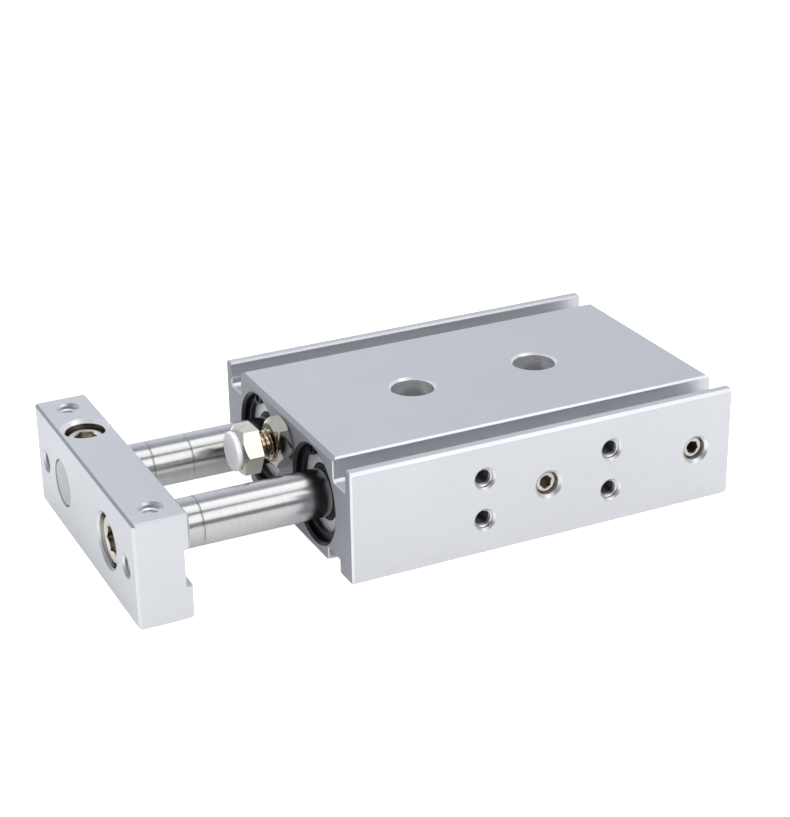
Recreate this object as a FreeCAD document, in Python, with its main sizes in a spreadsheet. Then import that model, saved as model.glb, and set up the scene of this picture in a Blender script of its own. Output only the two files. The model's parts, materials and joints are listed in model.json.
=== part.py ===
import FreeCAD, Part
import math
import os
import Sketcher
from FreeCAD import Placement, Rotation, Vector

# Twin rod pneumatic cylinder, modelled with its rods fully out.
# Origin: middle of the housing's underside. +X: the way the rods come out. +Z: up.
# Suffix _a is the bore on the +Y side, _b the bore on the -Y side.

# Driving dimensions, in millimetres
SIZES = {
    # Housing: an extruded section with two bores
    "dead_length": 67.0,
    "stroke": 20.0,
    "body_width": 64.0,
    "body_height": 24.0,
    "axis_height": 12.0,
    "bore_diameter": 20.0,
    "bore_pitch": 28.0,
    "bore_mouth_chamfer": 0.5,
    "top_block_width": 47.6,
    "fin_thickness": 2.6,
    "sensor_groove_depth": 5.1,
    "groove_foot": 0.55,
    "groove_ledge": 0.45,
    "groove_ledge_height": 1.65,
    "bottom_pad_width": 41.0,
    "foot_width": 6.0,
    "bottom_groove_depth": 2.9,
    "pad_corner_radius": 1.2,
    "section_edge_chamfer": 0.4,
    "side_edge_chamfer": 0.6,
    "end_chamfer": 0.2,
    "end_corner_chamfer": 0.4,
    "block_end_chamfer": 0.8,
    # Holes of the housing
    "mount_spacing": 29.0,
    "mount_hole_diameter": 5.5,
    "counterbore_diameter": 9.0,
    "counterbore_depth": 5.3,
    "counterbore_chamfer": 0.55,
    "side_tap_spacing": 29.0,
    "side_tap_rise": 9.0,
    "side_tap_depth": 6.5,
    "port_thread_depth": 6.0,
    "port_chamfer": 0.65,
    "port_drill_diameter": 4.0,
    "rod_port_setback": 4.0,
    "head_port_setback": 2.5,
    "adjuster_height": 18.0,
    "adjuster_hole_depth": 13.0,
    # Threads, by their outer diameter, and the chamfer at a tapped mouth
    "small_thread": 4.0,
    "port_thread": 5.0,
    "screw_thread": 6.0,
    "clamp_thread": 8.0,
    "tap_chamfer": 0.45,
    # Clearances, each on the radius
    "bore_fit": 0.03,
    "slide_fit": 0.05,
    "thread_fit": 0.04,
    "seat_fit": 0.02,
    "stop_gap": 0.1,
    # Snap rings
    "ring_recess": 1.4,
    "ring_thickness": 1.0,
    "ring_side_gap": 0.1,
    "ring_seat_depth": 0.55,
    "ring_band": 2.0,
    "ring_band_taper": 0.35,
    "ring_gap_angle": 24.0,
    "ring_ear_radius": 2.4,
    "ring_ear_depth": 2.9,
    "ring_ear_wall": 0.5,
    "ring_ear_hole": 1.6,
    # Rod covers with their bush and seals
    "rod_diameter": 10.0,
    "cover_length": 37.1,
    "cover_edge": 0.5,
    "bush_wall": 1.5,
    "bush_setback": 1.0,
    "seal_seat_depth": 5.0,
    "seal_seat_wall": 2.0,
    "seal_length": 4.4,
    "wiper_lip": 0.9,
    "wiper_edge": 0.25,
    "o_ring_section": 1.6,
    "o_ring_groove_width": 2.2,
    "cover_o_ring_setback": 9.0,
    "head_cover_length": 3.6,
    "head_recess_diameter": 11.0,
    "head_recess_depth": 0.8,
    # Pistons
    "piston_boss_diameter": 14.0,
    "piston_front_boss": 5.9,
    "piston_land": 9.5,
    "piston_rear_boss": 4.0,
    "piston_gap": 0.1,
    "piston_land_edge": 0.3,
    "piston_seal_setback": 1.5,
    "piston_seal_width": 2.6,
    "piston_seal_depth": 2.3,
    "magnet_setback": 5.4,
    "magnet_width": 2.6,
    "magnet_depth": 1.8,
    "magnet_cover": 0.3,
    "piston_bumper_thickness": 1.5,
    "piston_bumper_diameter": 14.0,
    "piston_nut_recess": 12.2,
    "piston_nut_depth": 3.4,
    # Rods
    "rod_end_chamfer": 0.4,
    "rod_line_setback": 7.0,
    "rod_line_spacing": 8.4,
    "rod_line_width": 0.4,
    "rod_line_depth": 0.15,
    "rod_tap_depth": 12.0,
    "rod_end_inset": 0.1,
    "clamp_flat_depth": 0.3,
    "clamp_flat_length": 8.4,
    # End plate
    "plate_width": 62.0,
    "plate_height": 22.0,
    "plate_thickness": 11.0,
    "plate_edge": 0.5,
    "plate_notch_height": 8.0,
    "plate_notch_depth": 1.4,
    "plate_tap_spacing": 50.6,
    "plate_tap_depth": 7.0,
    "plate_front_tap_depth": 7.5,
    "rod_socket_depth": 2.6,
    "screw_clearance": 0.3,
    # Screws of the plate
    "cap_head_diameter": 10.0,
    "cap_head_height": 4.0,
    "cap_head_gap": 0.5,
    "cap_head_recess": 0.8,
    "cap_socket": 5.0,
    "cap_socket_depth": 2.4,
    "cap_thread_length": 9.0,
    "clamp_recess": 1.6,
    "clamp_mouth_chamfer": 0.8,
    "clamp_socket": 4.0,
    "clamp_socket_depth": 2.6,
    "screw_edge": 0.5,
    # Port plugs
    "plug_recess": 1.3,
    "plug_length": 4.4,
    "plug_edge": 0.45,
    "plug_socket": 2.5,
    "plug_socket_depth": 2.2,
    # Stroke adjuster
    "hexagon_flats": 9.4,
    "nut_thickness": 3.4,
    "adjuster_gap": 3.3,
    "bolt_head_height": 4.0,
    "bolt_shank_in_body": 10.0,
    "bumper_diameter": 8.2,
    "bumper_thickness": 1.2,
    "bumper_rim_radius": 0.4,
    "bumper_stem_diameter": 3.4,
    "bumper_stem_length": 2.0,
}

# Angles that only place a piece about its own axis, in degrees
RING_GAP_DIRECTION = 91
NUT_CORNER_DIRECTION = 46
HEAD_CORNER_DIRECTION = 2
HEXAGON_CHAMFER = math.tan(math.radians(35))

# Shares of a piece's own size
HEXAGON_RIM = 0.9
CUT_REACH = 1.2
TOUCH = 1e-4

doc = FreeCAD.newDocument("twin_rod_cylinder")
sheet = doc.addObject("Spreadsheet::Sheet", "dims")
for row, (alias, size) in enumerate(SIZES.items(), start=1):
    sheet.set(f"A{row}", alias.replace("_", " "))
    sheet.set(f"B{row}", str(size))
    sheet.setAlias(f"B{row}", alias)
doc.recompute()

# Stations along X, each an expression over the sheet
FACE = "(dims.dead_length + dims.stroke) / 2"
COVER_FACE = f"({FACE} - dims.ring_recess - dims.ring_thickness)"
COVER_BACK = f"({COVER_FACE} - dims.cover_length)"
HEAD_BACK = f"(-{COVER_FACE})"
HEAD_FACE = f"({HEAD_BACK} + dims.head_cover_length)"
PISTON_FACE = f"({COVER_BACK} - dims.piston_gap - dims.piston_bumper_thickness)"
LAND_FACE = f"({PISTON_FACE} - dims.piston_front_boss)"
LAND_BACK = f"({LAND_FACE} - dims.piston_land)"
PISTON_BACK = f"({LAND_BACK} - dims.piston_rear_boss)"
NUT_SEAT = f"({PISTON_BACK} + dims.piston_nut_depth)"
HEAD_SEAT = f"({FACE} + dims.nut_thickness + dims.adjuster_gap)"
HEAD_TOP = f"({HEAD_SEAT} + dims.bolt_head_height)"
BUMPER_TIP = f"({HEAD_TOP} + dims.bumper_thickness)"
PLATE_BACK = f"({BUMPER_TIP} + dims.stop_gap + dims.stroke)"
PLATE_FRONT = f"({PLATE_BACK} + dims.plate_thickness)"
PLATE_MIDDLE = f"({PLATE_BACK} + dims.plate_thickness / 2)"
ROD_PORT = f"({COVER_BACK} - dims.rod_port_setback)"
HEAD_PORT = f"({HEAD_FACE} + dims.head_port_setback)"

# Heights and radii that several pieces share
PLATE_TOP = "(dims.axis_height + dims.plate_height / 2)"
PLATE_BOTTOM = "(dims.axis_height - dims.plate_height / 2)"
BORE_RADIUS = "dims.bore_diameter / 2"
ROD_RADIUS = "dims.rod_diameter / 2"
BORE_Y = {"a": "dims.bore_pitch / 2", "b": "-dims.bore_pitch / 2"}


def value(expression):
    """Number that an expression over the sheet gives."""
    return float(sheet.evalExpression(expression))


def new_body(name, x="0", y="0", z="0", rotation=Rotation()):
    """Empty sub-part whose place follows the sheet."""
    body = doc.addObject("PartDesign::Body", name)
    body.Label = name
    body.Placement = Placement(Vector(), rotation)
    for axis, expression in zip("xyz", (x, y, z)):
        body.setExpression(f"Placement.Base.{axis}", expression)
    return body


def origin_plane(body, role):
    """One of a body's own origin planes."""
    return next(feature for feature in body.Origin.OriginFeatures if feature.Role == role)


def new_sketch(body, name, role, offset="0"):
    """Sketch parallel to an origin plane, moved along that plane's normal."""
    sketch = body.newObject("Sketcher::SketchObject", name)
    sketch.AttachmentSupport = [(origin_plane(body, role), "")]
    sketch.MapMode = "FlatFace"
    sketch.setExpression("AttachmentOffset.Base.z", offset)
    return sketch


def bind(sketch, constraint, expression):
    """Constraint whose value follows the sheet."""
    index = sketch.addConstraint(constraint)
    sketch.setExpression(f"Constraints[{index}]", expression)


def hold_point(sketch, edge, point, x, y):
    """Fixes one point of an edge at expressions over the sheet."""
    bind(sketch, Sketcher.Constraint("DistanceX", -1, 1, edge, point, value(x)), x)
    bind(sketch, Sketcher.Constraint("DistanceY", -1, 1, edge, point, value(y)), y)


def add_outline(sketch, corners):
    """Closed outline of straight edges through corners given as expressions."""
    spots = [Vector(value(x), value(y), 0) for x, y in corners]
    edges = []
    for start, end in zip(spots, spots[1:] + spots[:1]):
        edges.append(sketch.addGeometry(Part.LineSegment(start, end), False))
    for edge, before, (x, y) in zip(edges, edges[-1:] + edges[:-1], corners):
        sketch.addConstraint(Sketcher.Constraint("Coincident", before, 2, edge, 1))
        hold_point(sketch, edge, 1, x, y)


def add_circle(sketch, x, y, diameter):
    """Circle whose centre and diameter follow the sheet."""
    centre = Vector(value(x), value(y), 0)
    edge = sketch.addGeometry(Part.Circle(centre, Vector(0, 0, 1), value(diameter) / 2), False)
    hold_point(sketch, edge, 3, x, y)
    bind(sketch, Sketcher.Constraint("Diameter", edge, value(diameter)), diameter)


def add_hexagon(sketch, flats, direction):
    """Hexagon about the sketch's origin, with one corner in a direction."""
    corners = []
    for index in range(6):
        angle = math.radians(direction + 60 * index)
        reach = f"{flats} / sqrt(3)"
        corners.append((f"{reach} * {math.cos(angle):.9f}", f"{reach} * {math.sin(angle):.9f}"))
    add_outline(sketch, corners)


def add_axis(sketch, x_start, x_end, y):
    """Construction line along the sketch's X, for a cut that turns about it."""
    ends = [Vector(value(x), value(y), 0) for x in (x_start, x_end)]
    edge = sketch.addGeometry(Part.LineSegment(*ends), True)
    hold_point(sketch, edge, 1, x_start, y)
    hold_point(sketch, edge, 2, x_end, y)


def must_cut(body, feature, before):
    """Stops the build where a cut took nothing away."""
    doc.recompute()
    if not body.Shape.Volume < before - TOUCH:
        raise RuntimeError(f"{feature.Name} cut nothing")
    return feature


def pocket(body, name, sketch, depth=None, symmetric=False, away=False):
    """Straight cut from a sketch: to a depth, or through everything."""
    doc.recompute()
    before = body.Shape.Volume
    cut = body.newObject("PartDesign::Pocket", name)
    cut.Profile = sketch
    cut.Type = "Length" if depth else "ThroughAll"
    if depth:
        cut.setExpression("Length", depth)
    cut.SideType = "Symmetric" if symmetric else "One side"
    cut.Reversed = away
    return must_cut(body, cut, before)


def drill(body, name, sketch, diameter, depth=None, mouth=None, away=False, flat=False):
    """Round holes at a sketch's circles: through, or blind with a drill point or a flat floor."""
    doc.recompute()
    before = body.Shape.Volume
    hole = body.newObject("PartDesign::Hole", name)
    hole.Profile = sketch
    hole.ThreadType = "None"
    hole.setExpression("Diameter", diameter)
    hole.DepthType = "Dimension" if depth else "ThroughAll"
    hole.DrillPoint = "Flat" if flat else "Angled"
    if depth:
        hole.setExpression("Depth", depth)
    if mouth:
        hole.HoleCutType = "Countersink"
        hole.HoleCutCustomValues = True
        hole.HoleCutCountersinkAngle = 90
        hole.setExpression("HoleCutDiameter", mouth)
    hole.Reversed = away
    return must_cut(body, hole, before)


def mirror(body, name, features):
    """Copy of cuts on the other side of the XZ plane."""
    before = body.Shape.Volume
    copy = body.newObject("PartDesign::Mirrored", name)
    copy.Originals = features
    copy.MirrorPlane = (origin_plane(body, "XZ_Plane"), [""])
    body.Tip = copy
    return must_cut(body, copy, before)


def break_edges(body, name, size, wanted, rounded=False):
    """Chamfers or rounds the edges that a test picks."""
    doc.recompute()
    last = body.Tip
    picked = [f"Edge{index}" for index, edge in enumerate(last.Shape.Edges, start=1) if wanted(edge)]
    feature = body.newObject("PartDesign::Fillet" if rounded else "PartDesign::Chamfer", name)
    feature.Base = (last, picked)
    feature.setExpression("Radius" if rounded else "Size", size)
    before = body.Shape.Volume
    return must_cut(body, feature, before)


def near(first, second):
    """True where two numbers are one size."""
    return abs(first - second) < TOUCH


def turned(name, outline, **place):
    """Piece turned about its own X axis from an outline of (x, radius) corners."""
    body = new_body(name, **place)
    sketch = new_sketch(body, f"{name}_outline", "XZ_Plane")
    add_outline(sketch, outline)
    spin = body.newObject("PartDesign::Revolution", f"{name}_turning")
    spin.Profile = sketch
    spin.ReferenceAxis = (sketch, ["H_Axis"])
    spin.Angle = 360
    doc.recompute()
    return body


def on_bore(side):
    """Place of a piece on the axis of one bore."""
    return {"y": BORE_Y[side], "z": "dims.axis_height"}


def mill_flats(body, end, flats, length, direction):
    """Six flats on a turned blank, cut back from its end."""
    sketch = new_sketch(body, f"{body.Name}_hexagon", "YZ_Plane", end)
    add_circle(sketch, "0", "0", f"{flats} * 2")
    add_hexagon(sketch, flats, direction)
    pocket(body, f"{body.Name}_flats", sketch, length)


def sink_socket(body, end, flats, depth):
    """Hexagon socket in the end of a screw."""
    sketch = new_sketch(body, f"{body.Name}_socket_outline", "YZ_Plane", end)
    add_hexagon(sketch, flats, 0)
    pocket(body, f"{body.Name}_socket", sketch, depth)


def hexagon_blank(back, front, hole_radius, chamfer_back=True):
    """Outline of a turned blank for a hexagon, with chamfered ends and a hole."""
    rim = f"dims.hexagon_flats / 2 * {HEXAGON_RIM}"
    corner = "dims.hexagon_flats / sqrt(3)"
    slope = f"({corner} - {rim}) * {HEXAGON_CHAMFER:.6f}"
    outline = [(back, hole_radius)]
    if chamfer_back:
        outline += [(back, rim), (f"{back} + {slope}", corner)]
    else:
        outline += [(back, corner)]
    outline += [(f"{front} - {slope}", corner), (front, rim), (front, hole_radius)]
    return outline


def make_section(body):
    """Extruded section: centre block, stepped sensor grooves behind fins, bottom grooves between feet."""
    block = "dims.top_block_width / 2"
    side = "dims.body_width / 2"
    edge = f"{side} - dims.side_edge_chamfer"
    fin = f"({side} - dims.fin_thickness)"
    step = f"({fin} - dims.groove_ledge)"
    floor = "(dims.body_height - dims.sensor_groove_depth)"
    ledge = f"{floor} + dims.groove_ledge_height"
    foot_top = f"{floor} + dims.groove_foot"
    pad = "dims.bottom_pad_width / 2"
    foot = f"({side} - dims.foot_width)"
    half = [
        (pad, "0"),
        (pad, "dims.bottom_groove_depth"),
        (foot, "dims.bottom_groove_depth"),
        (foot, "0"),
        (edge, "0"),
        (side, "dims.side_edge_chamfer"),
        (side, "dims.body_height - dims.side_edge_chamfer"),
        (edge, "dims.body_height"),
        (fin, "dims.body_height"),
        (fin, ledge),
        (step, ledge),
        (step, foot_top),
        (f"{step} - dims.groove_foot", floor),
        (f"{block} + dims.groove_foot", floor),
        (block, foot_top),
        (block, "dims.body_height"),
    ]
    other = [(f"-({y})", z) for y, z in reversed(half)]
    sketch = new_sketch(body, "section_outline", "YZ_Plane")
    add_outline(sketch, half + other)
    pad_feature = body.newObject("PartDesign::Pad", "section")
    pad_feature.Profile = sketch
    pad_feature.setExpression("Length", f"{FACE} * 2")
    pad_feature.SideType = "Symmetric"
    doc.recompute()
    ease_section(body, [value(pad)], [value(foot)], [value(block), value(fin)])


def ease_section(body, pads, feet, tops):
    """Rounds the pad's long edges, and chamfers the other ones and both ends."""
    length = value(FACE) * 2
    height = value("dims.body_height")

    def runs_at(edge, places, level):
        box = edge.BoundBox
        at_place = any(near(abs(box.Center.y), place) for place in places)
        return near(box.XLength, length) and at_place and near(box.Center.z, level)

    def at_end(edge):
        return edge.BoundBox.XLength < TOUCH

    def long_edge(edge):
        return runs_at(edge, feet, 0) or runs_at(edge, tops, height)

    break_edges(body, "pad_rounds", "dims.pad_corner_radius", lambda edge: runs_at(edge, pads, 0), True)
    break_edges(body, "section_edges", "dims.section_edge_chamfer", long_edge)
    break_edges(body, "end_edges", "dims.end_chamfer", at_end)


def chamfer_block(body):
    """Wider chamfer on the centre block's top edge, at both ends."""
    for name, sign in (("front", ""), ("rear", "-")):
        sketch = new_sketch(body, f"{name}_block_chamfer_outline", "XZ_Plane")
        end = f"{sign}({FACE})"
        inner = f"{sign}({FACE} - dims.block_end_chamfer)"
        level = "dims.body_height - dims.block_end_chamfer"
        add_outline(sketch, [(inner, "dims.body_height"), (end, "dims.body_height"), (end, level)])
        pocket(body, f"{name}_block_chamfer", sketch, "dims.top_block_width", symmetric=True)


def chamfer_corners(body):
    """Chamfer on the four upright corners, where the sides meet the ends."""
    sketch = new_sketch(body, "end_corner_outline", "XY_Plane")
    for x_sign in ("", "-"):
        end = f"{x_sign}({FACE})"
        inner_end = f"{x_sign}({FACE} - dims.end_corner_chamfer)"
        for y_sign in ("", "-"):
            side = f"{y_sign}(dims.body_width / 2)"
            inner_side = f"{y_sign}(dims.body_width / 2 - dims.end_corner_chamfer)"
            add_outline(sketch, [(inner_end, side), (end, side), (end, inner_side)])
    pocket(body, "end_corners", sketch, symmetric=True)


def bore_housing(body):
    """Two through bores with chamfered mouths and snap ring grooves."""
    sketch = new_sketch(body, "bore_circles", "YZ_Plane")
    for y in BORE_Y.values():
        add_circle(sketch, y, "dims.axis_height", "dims.bore_diameter")
    pocket(body, "bores", sketch, symmetric=True)
    radius = value(BORE_RADIUS)

    def mouth(edge):
        return isinstance(edge.Curve, Part.Circle) and near(edge.Curve.Radius, radius)

    break_edges(body, "bore_mouths", "dims.bore_mouth_chamfer", mouth)
    sketch = new_sketch(body, "ring_groove_outline", "XY_Plane", "dims.axis_height")
    inner = f"{BORE_Y['a']} + {BORE_RADIUS} - dims.ring_seat_depth"
    outer = f"{BORE_Y['a']} + {BORE_RADIUS} + dims.ring_seat_depth"
    near_wall = f"{COVER_FACE} + dims.ring_thickness + dims.ring_side_gap"
    for sign in ("", "-"):
        deep = f"{sign}({COVER_FACE})"
        shallow = f"{sign}({near_wall})"
        add_outline(sketch, [(deep, inner), (shallow, inner), (shallow, outer), (deep, outer)])
    add_axis(sketch, HEAD_BACK, COVER_FACE, BORE_Y["a"])
    doc.recompute()
    before = body.Shape.Volume
    groove = body.newObject("PartDesign::Groove", "ring_grooves")
    groove.Profile = sketch
    groove.ReferenceAxis = (sketch, ["Axis0"])
    groove.Angle = 360
    must_cut(body, groove, before)
    mirror(body, "ring_grooves_other_bore", [groove])


def drill_housing(body):
    """Mounting holes, side taps, air ports and the adjuster's tapped hole."""
    spread = "dims.mount_spacing / 2"
    chamfered = "dims.counterbore_diameter + 2 * dims.counterbore_chamfer"
    for name, offset, away in (("top", "dims.body_height", False), ("bottom", "0", True)):
        sketch = new_sketch(body, f"{name}_counterbore_circles", "XY_Plane", offset)
        for x in (spread, f"-{spread}"):
            add_circle(sketch, x, "0", "dims.counterbore_diameter")
        drill(body, f"{name}_counterbores", sketch, "dims.counterbore_diameter",
              "dims.counterbore_depth", chamfered, away, flat=True)
    sketch = new_sketch(body, "mount_hole_circles", "XY_Plane", "dims.body_height")
    for x in (spread, f"-{spread}"):
        add_circle(sketch, x, "0", "dims.mount_hole_diameter")
    drill(body, "mount_holes", sketch, "dims.mount_hole_diameter")

    side = "-dims.body_width / 2"
    sketch = new_sketch(body, "side_tap_circles", "XZ_Plane", side)
    for x in ("dims.side_tap_spacing / 2", "-dims.side_tap_spacing / 2"):
        for z in ("dims.axis_height + dims.side_tap_rise / 2", "dims.axis_height - dims.side_tap_rise / 2"):
            add_circle(sketch, x, z, "dims.small_thread")
    mouth = "dims.small_thread + 2 * dims.tap_chamfer"
    taps = drill(body, "side_taps", sketch, "dims.small_thread", "dims.side_tap_depth", mouth, True)

    sketch = new_sketch(body, "port_circles", "XZ_Plane", side)
    for x in (ROD_PORT, HEAD_PORT):
        add_circle(sketch, x, "dims.axis_height", "dims.port_thread")
    mouth = "dims.port_thread + 2 * dims.port_chamfer"
    ports = drill(body, "ports", sketch, "dims.port_thread", "dims.port_thread_depth", mouth, True)
    mirror(body, "far_taps_and_ports", [taps, ports])
    sketch = new_sketch(body, "air_passage_circles", "XZ_Plane", side)
    for x in (ROD_PORT, HEAD_PORT):
        add_circle(sketch, x, "dims.axis_height", "dims.port_drill_diameter")
    drill(body, "air_passages", sketch, "dims.port_drill_diameter", away=True)

    bore = "dims.screw_thread + 2 * dims.slide_fit"
    sketch = new_sketch(body, "adjuster_circle", "YZ_Plane", FACE)
    add_circle(sketch, "0", "dims.adjuster_height", bore)
    drill(body, "adjuster_hole", sketch, bore, "dims.adjuster_hole_depth", f"{bore} + 2 * dims.tap_chamfer")


def make_housing():
    body = new_body("housing")
    make_section(body)
    chamfer_block(body)
    chamfer_corners(body)
    bore_housing(body)
    drill_housing(body)


def make_snap_ring(name, x, side):
    """Internal snap ring: an open band, thinner towards the broad ears that hold its plier holes."""
    rotation = Rotation(Vector(1, 0, 0), RING_GAP_DIRECTION)
    body = new_body(name, x=x, rotation=rotation, **on_bore(side))
    outer = f"({BORE_RADIUS} + dims.ring_seat_depth - dims.bore_fit)"
    inner = f"({outer} - dims.ring_band)"
    band = new_sketch(body, f"{name}_band_outline", "YZ_Plane")
    add_circle(band, "0", "0", f"2 * {outer}")
    add_circle(band, "dims.ring_band_taper", "0", f"2 * {inner}")
    pad = body.newObject("PartDesign::Pad", f"{name}_band")
    pad.Profile = band
    pad.setExpression("Length", "dims.ring_thickness")
    ear_inner = f"({outer} - dims.ring_ear_depth)"
    ear_reach = f"({ear_inner} + dims.ring_ear_radius)"
    hole_reach = f"({ear_inner} + dims.ring_ear_wall + dims.ring_ear_hole / 2)"
    ears = new_sketch(body, f"{name}_ear_outline", "YZ_Plane")
    holes = new_sketch(body, f"{name}_ear_hole_outline", "YZ_Plane", "dims.ring_thickness")
    for sign in ("", "-"):
        turn = f"{sign}(dims.ring_gap_angle / 2 + dims.ring_ear_radius / {ear_reach} * 180 / pi)"
        across = f"cos({turn})"
        upward = f"sin({turn})"
        add_circle(ears, f"{ear_reach} * {across}", f"{ear_reach} * {upward}", "2 * dims.ring_ear_radius")
        add_circle(holes, f"{hole_reach} * {across}", f"{hole_reach} * {upward}", "dims.ring_ear_hole")
    pad = body.newObject("PartDesign::Pad", f"{name}_ears")
    pad.Profile = ears
    pad.setExpression("Length", "dims.ring_thickness")
    rim = new_sketch(body, f"{name}_rim_outline", "YZ_Plane", "dims.ring_thickness")
    add_circle(rim, "0", "0", f"2 * {outer}")
    add_circle(rim, "0", "0", f"2 * ({outer} + 2 * dims.ring_ear_radius)")
    pocket(body, f"{name}_rim", rim, "dims.ring_thickness")
    gap = new_sketch(body, f"{name}_gap_outline", "YZ_Plane", "dims.ring_thickness")
    reach = f"({outer} * {CUT_REACH})"
    edge = f"{reach} * tan(dims.ring_gap_angle / 2)"
    add_outline(gap, [("0", "0"), (reach, f"-{edge}"), (reach, edge)])
    pocket(body, f"{name}_gap", gap, "dims.ring_thickness")
    pocket(body, f"{name}_ear_holes", holes, "dims.ring_thickness")


def make_o_ring(name, x, side):
    """Round cord ring that lies on its groove's floor."""
    body = new_body(name, **on_bore(side))
    sketch = new_sketch(body, f"{name}_section", "XZ_Plane")
    centre = f"{BORE_RADIUS} - dims.bore_fit - dims.seat_fit - dims.o_ring_section / 2"
    add_circle(sketch, x, centre, "dims.o_ring_section")
    spin = body.newObject("PartDesign::Revolution", f"{name}_turning")
    spin.Profile = sketch
    spin.ReferenceAxis = (sketch, ["H_Axis"])
    spin.Angle = 360


def o_ring_groove(x, radius):
    """Corners of an O-ring groove in an outline that runs towards -X."""
    floor = f"({BORE_RADIUS} - dims.bore_fit - 2 * dims.seat_fit - dims.o_ring_section)"
    front = f"{x} + dims.o_ring_groove_width / 2"
    back = f"{x} - dims.o_ring_groove_width / 2"
    return [(front, radius), (front, floor), (back, floor), (back, radius)]


def make_rod_end(side):
    """Rod cover with its bush, rod seal, O-ring and snap ring."""
    outside = f"({BORE_RADIUS} - dims.bore_fit)"
    bush = f"({ROD_RADIUS} + dims.bush_wall)"
    seat = f"({ROD_RADIUS} + dims.seal_seat_wall)"
    seat_floor = f"({COVER_FACE} - dims.seal_seat_depth)"
    mouth = f"({seat_floor} + dims.seal_length)"
    bore = f"({ROD_RADIUS} + dims.slide_fit)"
    nose = f"({bore} + dims.wiper_lip)"
    ring = f"({COVER_FACE} - dims.cover_o_ring_setback)"
    outline = [
        (COVER_BACK, bush),
        (seat_floor, bush),
        (seat_floor, seat),
        (mouth, seat),
        (mouth, f"{nose} + dims.seat_fit"),
        (COVER_FACE, f"{nose} + dims.seat_fit"),
        (COVER_FACE, f"{outside} - dims.cover_edge"),
        (f"{COVER_FACE} - dims.cover_edge", outside),
        *o_ring_groove(ring, outside),
        (f"{COVER_BACK} + dims.cover_edge", outside),
        (COVER_BACK, f"{outside} - dims.cover_edge"),
    ]
    turned(f"rod_cover_{side}", outline, **on_bore(side))

    wall = f"({bush} - dims.seat_fit)"
    back = f"{COVER_BACK} + dims.bush_setback"
    outline = [(back, bore), (seat_floor, bore), (seat_floor, wall), (back, wall)]
    turned(f"rod_bush_{side}", outline, **on_bore(side))

    rim = f"({seat} - dims.seat_fit)"
    middle = f"({bore} + {rim}) / 2"
    lip = f"({mouth} + dims.wiper_lip)"
    outline = [
        (seat_floor, middle),
        (f"{seat_floor} + dims.wiper_lip", bore),
        (lip, bore),
        (lip, f"{nose} - dims.wiper_edge"),
        (f"{lip} - dims.wiper_edge", nose),
        (f"{mouth} - dims.seat_fit", nose),
        (f"{mouth} - dims.seat_fit", rim),
        (f"{seat_floor} + dims.wiper_lip", rim),
    ]
    turned(f"rod_seal_{side}", outline, **on_bore(side))
    make_o_ring(f"cover_o_ring_{side}", ring, side)
    make_snap_ring(f"front_snap_ring_{side}", COVER_FACE, side)


def make_head_end(side):
    """Head cover that closes the bore at the back, with its O-ring and snap ring."""
    outside = f"({BORE_RADIUS} - dims.bore_fit)"
    ring = f"(({HEAD_FACE} + {HEAD_BACK}) / 2)"
    recess = "dims.head_recess_diameter / 2"
    floor = f"{HEAD_BACK} + dims.head_recess_depth"
    outline = [
        (floor, "0"),
        (HEAD_FACE, "0"),
        (HEAD_FACE, outside),
        *o_ring_groove(ring, outside),
        (HEAD_BACK, outside),
        (HEAD_BACK, recess),
        (floor, recess),
    ]
    turned(f"head_cover_{side}", outline, **on_bore(side))
    make_o_ring(f"head_o_ring_{side}", ring, side)
    make_snap_ring(f"rear_snap_ring_{side}", f"{HEAD_BACK} - dims.ring_thickness", side)


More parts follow.
